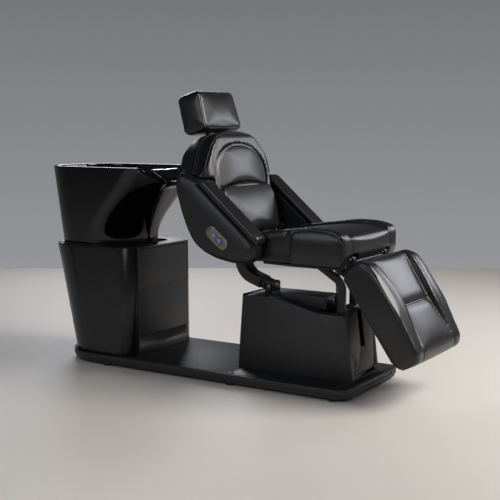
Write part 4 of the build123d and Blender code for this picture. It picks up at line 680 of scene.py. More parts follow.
@dataclass
class Cushion:
    """An upholstered piece made from its CAD solid: remeshed, filled, then sewn."""

    name: str
    nodes: tuple[str, ...]
    body: str
    slot: str
    seams: list[Seam] = field(default_factory=list)
    look: Finish = UPHOLSTERY_LEATHER
    voxel_mm: float = 5.0
    smooth_steps: int = 8
    pressure: float = 4.0
    cap_mm: float = 8.0
    frames: int = 12
    fill: float = 0.75
    rests: Callable[[np.ndarray, np.ndarray], np.ndarray] | None = None
    shaped: Callable[[np.ndarray, np.ndarray], np.ndarray] | None = None
    levels: int = 1

    def build(self, frame: dict) -> bpy.types.Object:
        """Builds the piece with its welts and stitches.


        Returns:
            The upholstered skin.
        """
        skin = copy_of(self.name, self.nodes, frame)
        remesh(skin, self.voxel_mm, self.smooth_steps)
        if self.shaped is not None:
            place_points(skin, self.shaped(points_of(skin), normals_of(skin)))
        self.find_seams(skin)
        places = points_of(skin)
        held = np.zeros(len(places), bool)
        if self.rests is not None:
            held |= self.rests(places, normals_of(skin))
        held |= self.near_seams(places)
        if self.pressure > 0:
            puff(skin, held, self.pressure, self.cap_mm, self.frames)
            self.find_seams(skin)
        sew(skin, self.seams)
        self.find_seams(skin)
        if self.levels:
            skin.modifiers.new("finer", "SUBSURF").levels = self.levels
            skin.modifiers["finer"].render_levels = self.levels
            apply_modifier(skin)
        finish_piece(skin, self.body, self.look.material())
        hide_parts(*self.nodes)
        self.add_welts()
        self.add_stitches()
        return skin

    def find_seams(self, skin: bpy.types.Object) -> None:
        """Finds every seam's line on the skin as it is now.

        Args:
            skin: Skin object.
        """
        mould = bmesh.new()
        mould.from_mesh(skin.data)
        tree = BVHTree.FromBMesh(mould)
        mould.free()
        for seam in self.seams:
            seam.find(tree)

    def near_seams(self, places: np.ndarray) -> np.ndarray:
        """Which vertices lie on a seam.

        Args:
            places: Vertex places, in metres.

        Returns:
            True for each vertex that does.
        """
        found = np.zeros(len(places), bool)
        for seam in self.seams:
            if not seam.line:
                continue
            tree = tree_of(seam.line)
            low = np.min([tuple(p) for p in seam.line], axis=0) - 0.01
            high = np.max([tuple(p) for p in seam.line], axis=0) + 0.01
            for k in np.where(np.all((places > low) & (places < high), axis=1))[0]:
                found[k] |= tree.find(places[k])[2] < SEAM_HOLD_M
        return found

    def add_welts(self) -> None:
        """Sews a leather-covered cord into each seam that has one."""
        mould = bmesh.new()
        for seam in self.seams:
            if seam.welt_mm and len(seam.line) > 3:
                lifted = [p + n * seam.welt_mm * MM * 0.25 for p, n in zip(seam.line, seam.normals)]
                line = even_path(lifted, seam.closed, 4.0, rounds=3)
                radii = [seam.welt_mm * MM] * len(line)
                sweep_ring(mould, line, radii, seam.closed, 10)
        self.add_trim(mould, self.name + "_welt", self.look)

    def add_stitches(self) -> None:
        """Lays short stitches of thread beside each sewn seam."""
        mould = bmesh.new()
        for seam in self.seams:
            if len(seam.line) < 6:
                continue
            for offset in seam.stitch_offsets_mm:
                self.stitch_row(mould, seam, offset)
        self.add_trim(mould, self.name + "_stitching", WAXED_THREAD)

    def stitch_row(self, mould: bmesh.types.BMesh, seam: Seam, offset_mm: float) -> None:
        """Adds one row of stitches: 6 mm long every 9 mm, drawn twice real size so that they show.

        Args:
            mould: Mesh that gets the stitches.
            seam: Seam that the row follows.
            offset_mm: Distance of the row from the seam's line.
        """
        line = even_path(seam.line, seam.closed, STITCH_STEP_MM, rounds=1)
        tree = tree_of(seam.line)
        for k in range(0, len(line) - STITCH_POINTS, STITCH_PITCH):
            stitch = []
            for j in range(STITCH_POINTS):
                here = line[k + j]
                normal = seam.normals[tree.find(here)[1]]
                way = (line[min(k + j + 1, len(line) - 1)] - line[k + j - 1 if k + j else 0]).normalized()
                across = way.cross(normal)
                arch = math.sin(math.pi * j / (STITCH_POINTS - 1))
                stitch.append(here + across * offset_mm * MM + normal * (0.5 * arch - 0.15) * MM)
            sweep_ring(mould, stitch, [radius * MM for radius in STITCH_RADII_MM], False, 5)

    def add_trim(self, mould: bmesh.types.BMesh, name: str, look: Finish) -> None:
        """Adds the welts or stitches as a piece, if there are any.

        Args:
            mould: Faces of the piece; it is freed.
            name: Name of the piece.
            look: Finish.
        """
        if len(mould.verts):
            finish_piece(cast(mould, name), self.body, look.material())
        else:
            mould.free()


@dataclass(frozen=True)
class Slant:
    """Directions of a leaning piece: out of its face, across it and up it."""

    origin: Vector
    degrees: float

    @property
    def out(self) -> Vector:
        """Way out of the face."""
        turn = math.radians(self.degrees)
        return Vector((math.cos(turn), 0.0, math.sin(turn)))

    @property
    def up(self) -> Vector:
        """Way up the face."""
        turn = math.radians(self.degrees)
        return Vector((-math.sin(turn), 0.0, math.cos(turn)))

    def at(self, out_mm: float, across_mm: float, up_mm: float) -> Vector:
        """Point at distances from the origin along the three ways."""
        return self.origin + (self.out * out_mm + Vector((0, 1, 0)) * across_mm + self.up * up_mm) * MM

    def shares(self, places: np.ndarray) -> tuple[np.ndarray, np.ndarray, np.ndarray]:
        """Distances of many points from the origin along the three ways, in millimetres."""
        away = (places - np.array(self.origin)) / MM
        return away @ np.array(self.out), away[:, 1], away @ np.array(self.up)


BACK = Slant(Vector(((520.0 + X_SHIFT_MM) * MM, 0.0, 665.0 * MM)), 12.6)
HEAD = Slant(BACK.at(-56.0, 0.0, 484.0), 16.6)
LEG = Slant(Vector(((1150.0 + X_SHIFT_MM) * MM, 0.0, 560.0 * MM)), -55.6)


def arc_points(centre: tuple[float, float], radius: float, start: float, end: float,
               count: int = 8) -> list[tuple[float, float]]:
    """Points on an arc in a plane.

    Args:
        centre: Middle of the arc.
        radius: Its radius.
        start: First angle in degrees.
        end: Last angle in degrees.
        count: How many points.

    Returns:
        Points from start to end.
    """
    turns = [math.radians(start + (end - start) * k / (count - 1)) for k in range(count)]
    return [(centre[0] + radius * math.cos(t), centre[1] + radius * math.sin(t)) for t in turns]


@dataclass
class SeatCushion:
    """Waterfall-fronted seat with side rolls, sewn along two inner seams and welted side panels."""

    inner_seam_mm: float = 190.0
    half_width_mm: float = 272.0
    hub: tuple[float, float] = (1000.0, 600.0)
    seam_shots: int = 60
    seam_start_degrees: float = 172.0
    seam_turn_degrees: float = 3.45
    seam_taper: float = 0.10
    shot_reach_mm: float = 500.0
    underside_m: float = 0.612
    rear_mm: float = 600.0
    # Pale steel strip along the lower front edge, a painted highlight for the light that the piping catches:
    # its place, half length and radius.
    highlight_strip_at: tuple[float, float] = (1106.5, 580.0)
    highlight_strip_half_mm: int = 168
    highlight_strip_radius_mm: float = 1.8
    side_line: tuple[tuple[float, float], ...] = (
        (864, 566), (864, 640), (866, 690), (880, 704), (930, 711), (985, 712), (1040, 707), (1078, 696),
        (1100, 676), (1108, 648), (1108, 612), (1100, 582), (1088, 564),
    )

    def seams(self) -> list[Seam]:
        """Seams of the top and of the two side panels.

        Returns:
            Two seams for each side.
        """
        found = []
        for side in (-1, 1):
            starts, aims = [], []
            for step in range(self.seam_shots):
                turn = math.radians(self.seam_start_degrees - step * self.seam_turn_degrees)
                x = self.hub[0] + X_SHIFT_MM
                taper = self.seam_taper * max(0.0, math.cos(turn + math.pi)) ** 2
                y = side * self.inner_seam_mm * (1 - taper)
                starts.append(Vector((x + self.shot_reach_mm * math.cos(turn), y,
                                      self.hub[1] + self.shot_reach_mm * math.sin(turn))) * MM)
                aims.append(Vector((x, y, self.hub[1])) * MM)
            found.append(Seam(starts, aims, groove_mm=2.6, groove_half_mm=3.2, valley_mm=3.0,
                              valley_half_mm=20.0, stitch_offsets_mm=(-5.0, 5.0), pucker_mm=0.5))
            line = [building_point(x, side * self.half_width_mm, z) for x, z in self.side_line]
            starts, aims = towards(even_path(line, False, 5.0), Vector((0, -side, 0)))
            found.append(Seam(starts, aims, groove_mm=1.6, groove_half_mm=4.0, welt_mm=2.4, valley_mm=1.0,
                              valley_half_mm=14.0, pucker_mm=0.25))
        return found

    def build(self, frame: dict) -> None:
        """Builds the seat cushion.
        """
        def rests(places: np.ndarray, outward: np.ndarray) -> np.ndarray:
            """Points on the seat's underside and rear end."""
            under = (places[:, 2] < self.underside_m) & (outward[:, 2] < 0.2)
            return under | (places[:, 0] < (self.rear_mm + X_SHIFT_MM) * MM)

        Cushion("seat_upholstery", ("seat_cushion",), "seat", "seat_leather", self.seams(), voxel_mm=5.5,
                smooth_steps=10, pressure=3.0, cap_mm=6.0, frames=10, rests=rests).build(frame)
        # Painted highlight: a pale strip along the front edge's piping.
        self.add_front_highlight_strip()

    def add_front_highlight_strip(self) -> None:
        """Pale steel strip along the cushion's lower front edge: a painted highlight, standing in for the
        light that the edge's piping catches.
        """
        mould = bmesh.new()
        line = [building_point(self.highlight_strip_at[0], y, self.highlight_strip_at[1])
                for y in range(-self.highlight_strip_half_mm, self.highlight_strip_half_mm + 1, 12)]
        sweep_ring(mould, line, [self.highlight_strip_radius_mm * MM] * len(line), False, 8)
        finish_piece(cast(mould, "seat_front_highlight_strip"), "seat", TURNED_STEEL.material())


@dataclass
class LegrestCushion:
    """Legrest pad: hourglass middle panel, cross seam and welted side panels."""

    waist: tuple[tuple[float, float], ...] = ((-40.0, 175.0), (90.0, 155.0), (180.0, 141.5), (221.0, 138.0),
                                              (262.0, 141.5), (350.0, 155.5), (474.0, 177.0))
    cross_mm: float = 221.0
    cross_half_mm: int = 140
    head_hub_mm: float = 20.0
    foot_hub_mm: float = 420.0
    hub_reach_mm: float = 300.0
    half_width_mm: float = 254.0
    side_seam_mm: float = 250.0
    roll_rise_mm: float = 5.0
    board_mm: float = -48.0
    side_line: tuple[tuple[float, float], ...] = (
        (-26, -22), (-20, 12), (-10, 34), (10, 50), (34, 61), (90, 68), (150, 69), (220, 68), (280, 64),
        (350, 55), (424, 42), (446, 26), (454, -6), (449, -48),
    )

    def seams(self) -> list[Seam]:
        """Seams of the face and the two sides.

        Returns:
            Two seams for each side, then the cross seam.
        """
        found = []
        for side in (-1, 1):
            starts, aims = [], []
            for x, y in self.waist_curve():
                starts.append(LEG.at(x, side * y, 0) + LEG.up * 0.3)
                aims.append(LEG.at(x, side * y, 0))
            head, foot = self.waist[0][1] - 4, self.waist[-1][1] - 4
            for turn in (150, 165, 180, 195):
                starts.insert(0, self.round_end(self.head_hub_mm, side * head, turn))
                aims.insert(0, LEG.at(self.head_hub_mm, side * head, 0))
            for turn in (30, 15, 0, -8):
                starts.append(self.round_end(self.foot_hub_mm, side * foot, turn))
                aims.append(LEG.at(self.foot_hub_mm, side * foot, 0))
            found.append(Seam(starts, aims, groove_mm=2.6, groove_half_mm=3.6, valley_mm=2.0,
                              valley_half_mm=14.0, stitch_offsets_mm=(5.0 * side,), pucker_mm=0.15))
            line = [LEG.at(x, side * self.side_seam_mm, z) for x, z in self.side_line]
            starts, aims = towards(even_path(line, False, 5.0), Vector((0, -side, 0)))
            found.append(Seam(starts, aims, groove_mm=1.6, groove_half_mm=4.0, welt_mm=2.4, pucker_mm=0.1))
        across = range(-self.cross_half_mm, self.cross_half_mm + 1, 5)
        starts = [LEG.at(self.cross_mm, y, self.hub_reach_mm) for y in across]
        aims = [LEG.at(self.cross_mm, y, 0.0) for y in across]
        found.append(Seam(starts, aims, groove_mm=3.0, groove_half_mm=3.6, valley_mm=5.0, valley_half_mm=22.0,
                          stitch_offsets_mm=(5.0,), pucker_mm=0.15))
        return found

    def round_end(self, hub_mm: float, across_mm: float, degrees: float) -> Vector:
        """Start of a shot at an end of the pad.

        Args:
            hub_mm: Place of the end's hub along the legrest.
            across_mm: Distance of the shot from the middle.
            degrees: Turn of the shot round the hub.

        Returns:
            The start, in metres.
        """
        away = math.radians(degrees)
        return LEG.at(hub_mm + self.hub_reach_mm * math.cos(away), across_mm,
                      self.hub_reach_mm * math.sin(away))

    def waist_curve(self) -> list[tuple[float, float]]:
        """Hourglass line along the legrest from its head to its foot."""
        xs = np.linspace(self.waist[0][0] + 30, self.waist[-1][0] - 30, 90)
        return [(float(x), float(y)) for x, y in zip(xs, self.waist_at(xs))]

    def waist_at(self, along: np.ndarray) -> np.ndarray:
        """Half-width of the middle panel at distances along the legrest, in millimetres."""
        return np.interp(along, [p[0] for p in self.waist], [p[1] for p in self.waist])

    def rolled(self, places: np.ndarray, outward: np.ndarray) -> np.ndarray:
        """Rounds the crests of the two side rolls.

        Args:
            places: Vertex places, in metres.
            outward: Vertex normals.

        Returns:
            The new places.
        """
        along, across, _ = LEG.shares(places)
        facing = np.clip(outward @ np.array(LEG.up), 0.0, 1.0)
        waist = self.waist_at(along)
        share = np.clip((np.abs(across) - waist) / (self.half_width_mm - waist), 0.0, 1.0)
        lift = np.sin(np.pi * share) * self.roll_rise_mm * facing
        return places + np.array(LEG.up) * (lift * MM)[:, None]

    def build(self, frame: dict) -> None:
        """Builds the legrest cushion.
        """
        def rests(places: np.ndarray, outward: np.ndarray) -> np.ndarray:
            """Points on the legrest's board."""
            return LEG.shares(places)[2] < self.board_mm

        Cushion("legrest_upholstery", ("legrest_cushion",), "legrest", "leg_leather", self.seams(),
                voxel_mm=5.0, smooth_steps=20, pressure=2.0, cap_mm=4.0, frames=8, rests=rests,
                shaped=self.rolled).build(frame)


@dataclass
class BackUpholstery:
    """Shoulder bolster, upper pad and lumbar pad on the leaning back, over a leather-covered shell."""

    dome: tuple[tuple[float, float], ...] = (
        (-205, 212), (-212, 250), (-209, 305), (-190, 340), (-163, 363), (-110, 391), (-55, 407), (0, 411),
        (55, 407), (110, 391), (163, 363), (190, 340), (209, 305), (212, 250), (205, 212),
    )
    rim: tuple[tuple[float, float], ...] = (
        (-266, 262), (-268, 300), (-252, 352), (-222, 398), (-176, 434), (-120, 452), (-60, 458), (0, 459),
        (60, 458), (120, 452), (176, 434), (222, 398), (252, 352), (268, 300), (266, 262),
    )
    shell_marks: tuple[tuple[float, float], ...] = (
        (150, 20), (168, 120), (186, 220), (190, 300), (160, 390), (96, 452),
    )
    dome_foot_mm: float = 244.0
    brow_mm: float = 200.0
    brow_rise_mm: float = 36.0
    brow_half_mm: float = 206.0
    board_mm: float = -40.0
    bolster_mm: float = -8.0
    lumbar_board_mm: float = -30.0
    lumbar_foot_mm: float = 4.0

    def front_seam(self, points: Sequence[tuple[float, float]], closed: bool, **sewing: object) -> Seam:
        """Seam shot onto the back's face from the front.

        Args:
            points: Distances across and up the back, in millimetres.
            closed: Whether the seam is a ring.
            **sewing: What Seam takes.

        Returns:
            The seam.
        """
        line = even_path([BACK.at(0, y, s) for y, s in points], closed, 5.0, rounds=12)
        starts, aims = towards(line, -BACK.out)
        return Seam(starts, aims, closed=closed, **sewing)

    def build(self, frame: dict) -> None:
        """Builds the pads and the shell's leather.
        """
        def on_board(places: np.ndarray, outward: np.ndarray) -> np.ndarray:
            """Points that lie against the back's board."""
            return BACK.shares(places)[0] < self.board_mm

        def on_bolster(places: np.ndarray, outward: np.ndarray) -> np.ndarray:
            """Points of the upper pad that are let into the bolster."""
            return BACK.shares(places)[0] < self.bolster_mm

        bolster_seam = self.front_seam(self.rim, False, groove_mm=1.5, groove_half_mm=4.0, welt_mm=2.2)
        Cushion("shoulder_bolster_upholstery", ("back_bolster",), "back", "back_leather", [bolster_seam],
                voxel_mm=5.5, smooth_steps=6, pressure=0.0, rests=on_board).build(frame)

        foot = self.dome_foot_mm
        inner = [(y * 0.95, foot + (s - foot) * 0.94 if s > foot else s + 10) for y, s in self.dome]
        arch = self.front_seam(inner, False, groove_mm=2.2, groove_half_mm=3.0, valley_mm=1.0,
                               valley_half_mm=12.0, stitch_offsets_mm=(-4.5,), pucker_mm=0.12)
        Cushion("upper_pad_upholstery", ("upper_pad",), "back", "back_leather", [arch], voxel_mm=5.0,
                smooth_steps=8, pressure=2.0, cap_mm=5.0, frames=10, rests=on_bolster).build(frame)

        def on_seat_side(places: np.ndarray, outward: np.ndarray) -> np.ndarray:
            """Points of the lumbar pad at its board and at the seat."""
            out, _, up = BACK.shares(places)
            return (out < self.lumbar_board_mm) | (up < self.lumbar_foot_mm)

        arc = [(y, self.brow_mm + self.brow_rise_mm * (1 - (y / self.brow_half_mm) ** 2))
               for y in range(-188, 189, 8)]
        brow = self.front_seam(arc, False, groove_mm=1.6, groove_half_mm=3.0, stitch_offsets_mm=(4.5,),
                               pucker_mm=0.12)
        Cushion("lumbar_pad_upholstery", ("lumbar_pad",), "back", "back_leather", [brow], voxel_mm=5.5,
                smooth_steps=14, pressure=1.5, cap_mm=4.0, frames=8, rests=on_seat_side).build(frame)

        Cushion("back_shell_upholstery", ("back_shell",), "back", "shell_leather", self.shell_seams(),
                look=SHELL_LEATHER, voxel_mm=2.6, smooth_steps=4, pressure=0.0, fill=0.9,
                levels=0).build(frame)

    def shell_seams(self) -> list[Seam]:
        """Two upright seams on the rear of the back, with stitches at both sides of each.

        Returns:
            One seam for each side.
        """
        found = []
        for side in (-1, 1):
            line = even_path([BACK.at(0, side * y, s) for y, s in self.shell_marks], False, 6.0)
            starts, aims = towards(line, BACK.out)
            found.append(Seam(starts, aims, groove_mm=1.8, groove_half_mm=3.5, stitch_offsets_mm=(-5.0, 5.0)))
        return found


@dataclass
class Headrest:
    """Box cushion with a welted front panel on two posts."""

    low_half_mm: float = 156.0
    high_half_mm: float = 144.0
    height_mm: float = 192.0
    inset_mm: float = 11.0
    corner_mm: float = 24.0
    foot_mm: float = 6.0

    def outline(self) -> list[tuple[float, float]]:
        """Rounded outline of the front panel: across and up, in millimetres.

        Returns:
            Points of the outline, as a ring.
        """
        low, high, inset = self.low_half_mm - self.inset_mm, self.high_half_mm - self.inset_mm, self.inset_mm
        r = self.corner_mm
        points = arc_points((low - r, inset + r), r, -90, 0)
        points += arc_points((high - r, self.height_mm - inset - r), r, 0, 90)
        points += [(-y, s) for y, s in reversed(points)]
        return points

    def build(self, frame: dict) -> None:
        """Builds the headrest cushion.
        """
        seams = []
        for way in (-1, 1):
            line = even_path([HEAD.at(0, y, s) for y, s in self.outline()], True, 4.0, rounds=2)
            starts, aims = towards(line, HEAD.out * way)
            seams.append(Seam(starts, aims, closed=True, groove_mm=1.6, groove_half_mm=4.0, welt_mm=2.3,
                              pucker_mm=0.3))

        def rests(places: np.ndarray, outward: np.ndarray) -> np.ndarray:
            """Points on the headrest's underside."""
            return HEAD.shares(places)[2] < self.foot_mm

        Cushion("headrest_upholstery", ("headrest_cushion",), "headrest", "head_leather", seams, voxel_mm=4.5,
                smooth_steps=6, pressure=3.0, cap_mm=5.0, frames=10, rests=rests).build(frame)


@dataclass
class Wings:
    """Side wings with rounded outer faces and the armrest pads on top of them."""

    rear_mm: float = 296.0
    length_mm: float = 434.0
    low_mm: float = 553.0
    height_mm: float = 394.0
    outer_mm: float = 322.0
    drop_mm: float = 12.0
    drop_reach_mm: float = 70.0
    rim_facing: float = 0.35
    face_facing: float = 0.3
    seam_shares: tuple[tuple[float, float], ...] = (
        (0.325, 0.825), (0.45, 0.7), (0.6, 0.56), (0.75, 0.425), (0.88, 0.3), (0.94, 0.215), (0.965, 0.15),
        (0.955, 0.085), (0.9, 0.045),
    )
    arm_seam_mm: float = 262.0
    arm_seam_shares: tuple[tuple[float, float], ...] = (
        (0.36, 0.93), (0.5, 0.8), (0.7, 0.61), (0.9, 0.43), (1.0, 0.34),
    )

    def rounded(self, places: np.ndarray, outward: np.ndarray) -> np.ndarray:
        """Lets the outer face fall away towards its rim, as padding under leather does.

        Args:
            places: Vertex places, in metres.
            outward: Vertex normals.

        Returns:
            The new places.
        """
        side = np.sign(places[:, 1])
        rim = np.abs(outward[:, 1]) < self.rim_facing
        tree = tree_of([(p[0], 0.0, p[2]) for p in places[rim]])
        made = places.copy()
        for k, p in enumerate(places):
            if outward[k, 1] * side[k] < self.face_facing:
                continue
            gap = tree.find((p[0], 0.0, p[2]))[2] / MM
            if gap < self.drop_reach_mm:
                share = 1 - gap / self.drop_reach_mm
                made[k, 1] -= side[k] * self.drop_mm * MM * share * share
        return made

    def build(self, frame: dict) -> None:
        """Builds both wings and both armrest pads.
        """
        for side, name in ((-1, "right"), (1, "left")):
            line = [building_point(self.rear_mm + self.length_mm * x, side * self.outer_mm,
                                   self.low_mm + self.height_mm * z) for x, z in self.seam_shares]
            starts, aims = towards(even_path(line, False, 5.0, rounds=10), Vector((0, -side, 0)))
            welt = Seam(starts, aims, groove_mm=1.4, groove_half_mm=4.0, welt_mm=2.2)
            Cushion("wing_" + name + "_upholstery", ("wing_" + name,), "back", "shell_leather", [welt],
                    look=SHELL_LEATHER, voxel_mm=5.0, smooth_steps=6, pressure=0.0, shaped=self.rounded,
                    fill=0.9).build(frame)
            Cushion("armrest_" + name + "_upholstery", ("armrest_pad_" + name,), "back", "arm_leather",
                    self.arm_seams(side), voxel_mm=4.0, smooth_steps=70, pressure=0.0, fill=0.75).build(frame)

    def arm_seams(self, side: int) -> list[Seam]:
        """Stitched line along the armrest pad's top, near its inner edge.

        Args:
            side: -1 for the right pad, 1 for the left.

        Returns:
            The one seam.
        """
        line = [building_point(self.rear_mm + self.length_mm * x, side * self.arm_seam_mm,
                               self.low_mm + self.height_mm * z) for x, z in self.arm_seam_shares]
        starts, aims = towards(even_path(line, False, 5.0, rounds=4), Vector((0, 0, -1)))
        return [Seam(starts, aims, groove_mm=1.2, groove_half_mm=3.0, stitch_offsets_mm=(4.0 * side,))]


@dataclass
class BasinSet:
    """Glazed basin, gel neck rest, waste, tap and spray."""

    deck_mm: float = 857.0
    tap: tuple[float, float] = (-512.0, 62.0)
    spray: tuple[float, float] = (-512.0, 0.0)
    glaze_voxel_mm: float = 4.0
    glaze_steps: int = 10
    gel_voxel_mm: float = 3.0
    gel_steps: int = 40
    tap_profile: tuple[tuple[float, float], ...] = (
        (20.8, 0.1), (21.0, 1.5), (21.0, 4.0), (20.4, 5.0), (17.5, 6.5), (16.8, 9.0), (16.8, 34.0),
        (17.4, 37.0), (20.2, 38.0), (20.8, 39.0), (20.8, 43.0), (20.3, 43.9), (4.0, 43.95),
    )
    spray_profile: tuple[tuple[float, float], ...] = (
        (9.5, -37.5), (11.3, -35.0), (11.4, 9.5), (11.4, 10.4), (21.5, 10.6), (21.8, 12.0), (20.0, 15.0),
        (15.0, 24.0), (12.0, 33.0), (11.2, 42.0), (11.2, 50.0), (12.0, 58.0), (15.5, 66.0), (20.5, 74.0),
        (23.4, 80.0), (23.8, 83.0), (22.8, 84.0), (17.0, 84.2), (16.5, 83.2), (5.0, 83.4),
    )

    def glazed(self, frame: dict) -> None:
        """Basin with the soft edges that a glaze gives.
        """
        basin = copy_of("basin_glazed", ("basin",), frame)
        remesh(basin, self.glaze_voxel_mm, self.glaze_steps)
        finish_piece(basin, "base", BLACK_GLAZE.material())
        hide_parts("basin")

    def neck_rest(self, frame: dict) -> None:
        """Gel pad over the notch.
        """
        pad = copy_of("neck_rest_gel", ("neck_cushion",), frame)
        remesh(pad, self.gel_voxel_mm, self.gel_steps)
        finish_piece(pad, "base", CAST_GEL.material())
        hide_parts("neck_cushion")

    def turned(self, name: str, profile: tuple[tuple[float, float], ...], at: tuple[float, float],
               body: str, look: Finish) -> bpy.types.Object:
        """Round piece turned from a profile about an upright axis.

        Args:
            name: Piece's name.
            profile: Radius and height above the deck, in millimetres, from its bottom up.
            at: Place of its axis in building sizes.
            body: CAD body.
            look: Finish.

        Returns:
            The piece.
        """
        mould = bmesh.new()
        line = [building_point(at[0], at[1], self.deck_mm + z) for _, z in profile]
        sweep_ring(mould, line, [max(r, 0.01) * MM for r, _ in profile], False, 40)
        return finish_piece(cast(mould, name), body, look.material())

    def build(self, frame: dict) -> None:
        """Builds the basin, its pad, the tap's body and the spray.
        """
        self.glazed(frame)
        self.neck_rest(frame)
        body = self.turned("mixer_body_chromed", self.tap_profile, self.tap, "base",
                           CHROME_PLATE)
        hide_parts("mixer_body")
        spray = self.turned("spray_handset_moulded", self.spray_profile, self.spray, "spray_handset",
                            GLOSS_ABS)
        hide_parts("spray_handset")
        for name in ("spray_holder", "waste_flange", "strainer", "mixer_lever"):
            dress(frame, name, CHROME_PLATE, 0.6)


def dress(frame: dict, name: str, look: Finish, bevel_mm: float) -> None:
    """Gives a CAD node its finish and softly broken edges.

    Args:
        name: CAD node.
        look: Finish.
        bevel_mm: Width of the broken edges, or 0 for none.
    """
    part = frame["nodes"][name]
    part.data.materials.clear()
    part.data.materials.append(look.material())
    if bevel_mm > 0:
        joined = part.modifiers.new("joined", "WELD")
        joined.merge_threshold = 0.01 * MM
        broken = part.modifiers.new("broken_edges", "BEVEL")
        broken.width = bevel_mm * MM
        broken.segments = 2
        broken.limit_method = "ANGLE"
        broken.angle_limit = math.radians(35)
        broken.harden_normals = True
        part.data.polygons.foreach_set("use_smooth", [True] * len(part.data.polygons))
    log.info("%s: dressed as %s", name, look.name)


@dataclass
class Hardware:
    """Every rigid CAD node that shows as it is, with its finish and edge break."""

    dressed: tuple[tuple[str, Finish, float], ...] = (
        ("floor_plate", POWDER_COAT, 1.2), ("base_pan", PAINTED_STEEL, 0.5),
        ("levelling_feet", MOULDED_RUBBER, 0.5),
        ("foot_caps", MOULDED_ABS, 0.4), ("plate_end_screws", PAINTED_STEEL, 0.5),
        ("cabinet_shell", CABINET_LACQUER, 1.5), ("cabinet_front_panel", POWDER_COAT, 1.0),
        ("cabinet_panel_screws", PAINTED_STEEL, 0.5), ("cabinet_top", POWDER_COAT, 1.0),
        ("basin_gasket", MOULDED_RUBBER, 0.5), ("waste_pipe", EXTRUDED_PVC, 0.0),
        ("supply_pipes", DRAWN_BRASS, 0.0), ("pedestal_frame", PAINTED_STEEL, 0.8),
        ("pedestal_cover_right", POWDER_COAT, 1.5), ("pedestal_cover_left", POWDER_COAT, 1.5),
        ("pedestal_front_panel", POWDER_COAT, 1.0), ("pedestal_front_bolts", PAINTED_STEEL, 0.6),
        ("pedestal_rear_panel", POWDER_COAT, 1.0), ("pedestal_top_cover", POWDER_COAT, 1.0),
        ("spine_cover", MOULDED_ABS, 1.5), ("link_bracket", PAINTED_STEEL, 0.8),
        ("link_pin", TURNED_STEEL, 0.6),
        ("front_arms", PAINTED_STEEL, 1.2), ("rear_link", PAINTED_STEEL, 2.0),
        ("actuator_body", MOULDED_ABS, 1.0), ("actuator_rod", TURNED_STEEL, 0.6),
        ("seat_frame", PAINTED_STEEL, 0.8), ("seat_pivot_shaft", TURNED_STEEL, 0.6),
        ("open_link_pin", TURNED_STEEL, 0.6), ("back_hinge_pins", TURNED_STEEL, 0.6),
        ("legrest_pins", TURNED_STEEL, 0.6), ("seat_bottom_cover", MOULDED_ABS, 1.5),
        ("back_arms", PAINTED_STEEL, 0.8), ("back_board", STAINED_BIRCH, 0.8),
        ("headrest_posts", CHROME_PLATE, 0.8),
        ("post_sleeves", MOULDED_ABS, 0.6), ("legrest_arms", PAINTED_STEEL, 0.8),
        ("legrest_board", STAINED_BIRCH, 0.8),
    )

    def build(self, frame: dict) -> None:
        """Dresses every node of the list."""
        for name, look, bevel_mm in self.dressed:
            dress(frame, name, look, bevel_mm)


@dataclass
class ControlPanel:
    """Rounded plate with two push buttons, each with a lit ring round a small mark."""

    centre: tuple[float, float] = (530.0, 661.0)
    tilt_degrees: float = 39.0
    spacing_mm: float = 34.0
    face_mm: float = -325.4
    ring_mm: float = 6.6
    ring_section_mm: float = 0.55

    def build(self, frame: dict) -> None:
        """Dresses plate and buttons and adds their rings and marks.
        """
        dress(frame, "control_plate", BLASTED_ALUMINIUM, 0.8)
        turn = math.radians(self.tilt_degrees)
        for side, name in ((-1, "button_recline"), (1, "button_raise")):
            dress(frame, name, BLASTED_ALUMINIUM, 0.6)
            x = self.centre[0] + side * self.spacing_mm / 2 * math.cos(turn) + X_SHIFT_MM
            z = self.centre[1] - side * self.spacing_mm / 2 * math.sin(turn)
            self.add_ring(name, x, z)
            self.add_mark(name, x, z, side)

    def add_ring(self, body: str, x: float, z: float) -> None:
        """Lit ring let into a button's face.

        Args:
            body: Body of the button.
            x: Middle of its face along the part, in millimetres.
            z: Height of that middle, in millimetres.
        """
        mould = bmesh.new()
        line = [Vector((x + self.ring_mm * math.cos(a), self.face_mm, z + self.ring_mm * math.sin(a))) * MM
                for a in (2 * math.pi * k / 48 for k in range(48))]
        sweep_ring(mould, line, [self.ring_section_mm * MM] * 48, True, 8)
        self.add_lit(mould, body, body + "_lit_ring")

    def add_mark(self, body: str, x: float, z: float, side: int) -> None:
        """Plain arrow head on a button: down for recline, up for raise.

        Args:
            body: Body of the button.
            x: Middle of its face along the part, in millimetres.
            z: Height of that middle, in millimetres.
            side: -1 for recline, 1 for raise.
        """
        mould = bmesh.new()
        tip = [(-2.6, -1.2 * side), (0.0, 1.6 * side), (2.6, -1.2 * side)]
        line = even_path([Vector((x + u, self.face_mm, z + v)) * MM for u, v in tip], False, 0.5, rounds=0)
        sweep_ring(mould, line, [0.45 * MM] * len(line), False, 8)
        self.add_lit(mould, body, body + "_mark")

    def add_lit(self, mould: bmesh.types.BMesh, body: str, name: str) -> None:
        """Turns a mould into a lit piece on a button."""
        finish_piece(cast(mould, name), body, lit_ring())


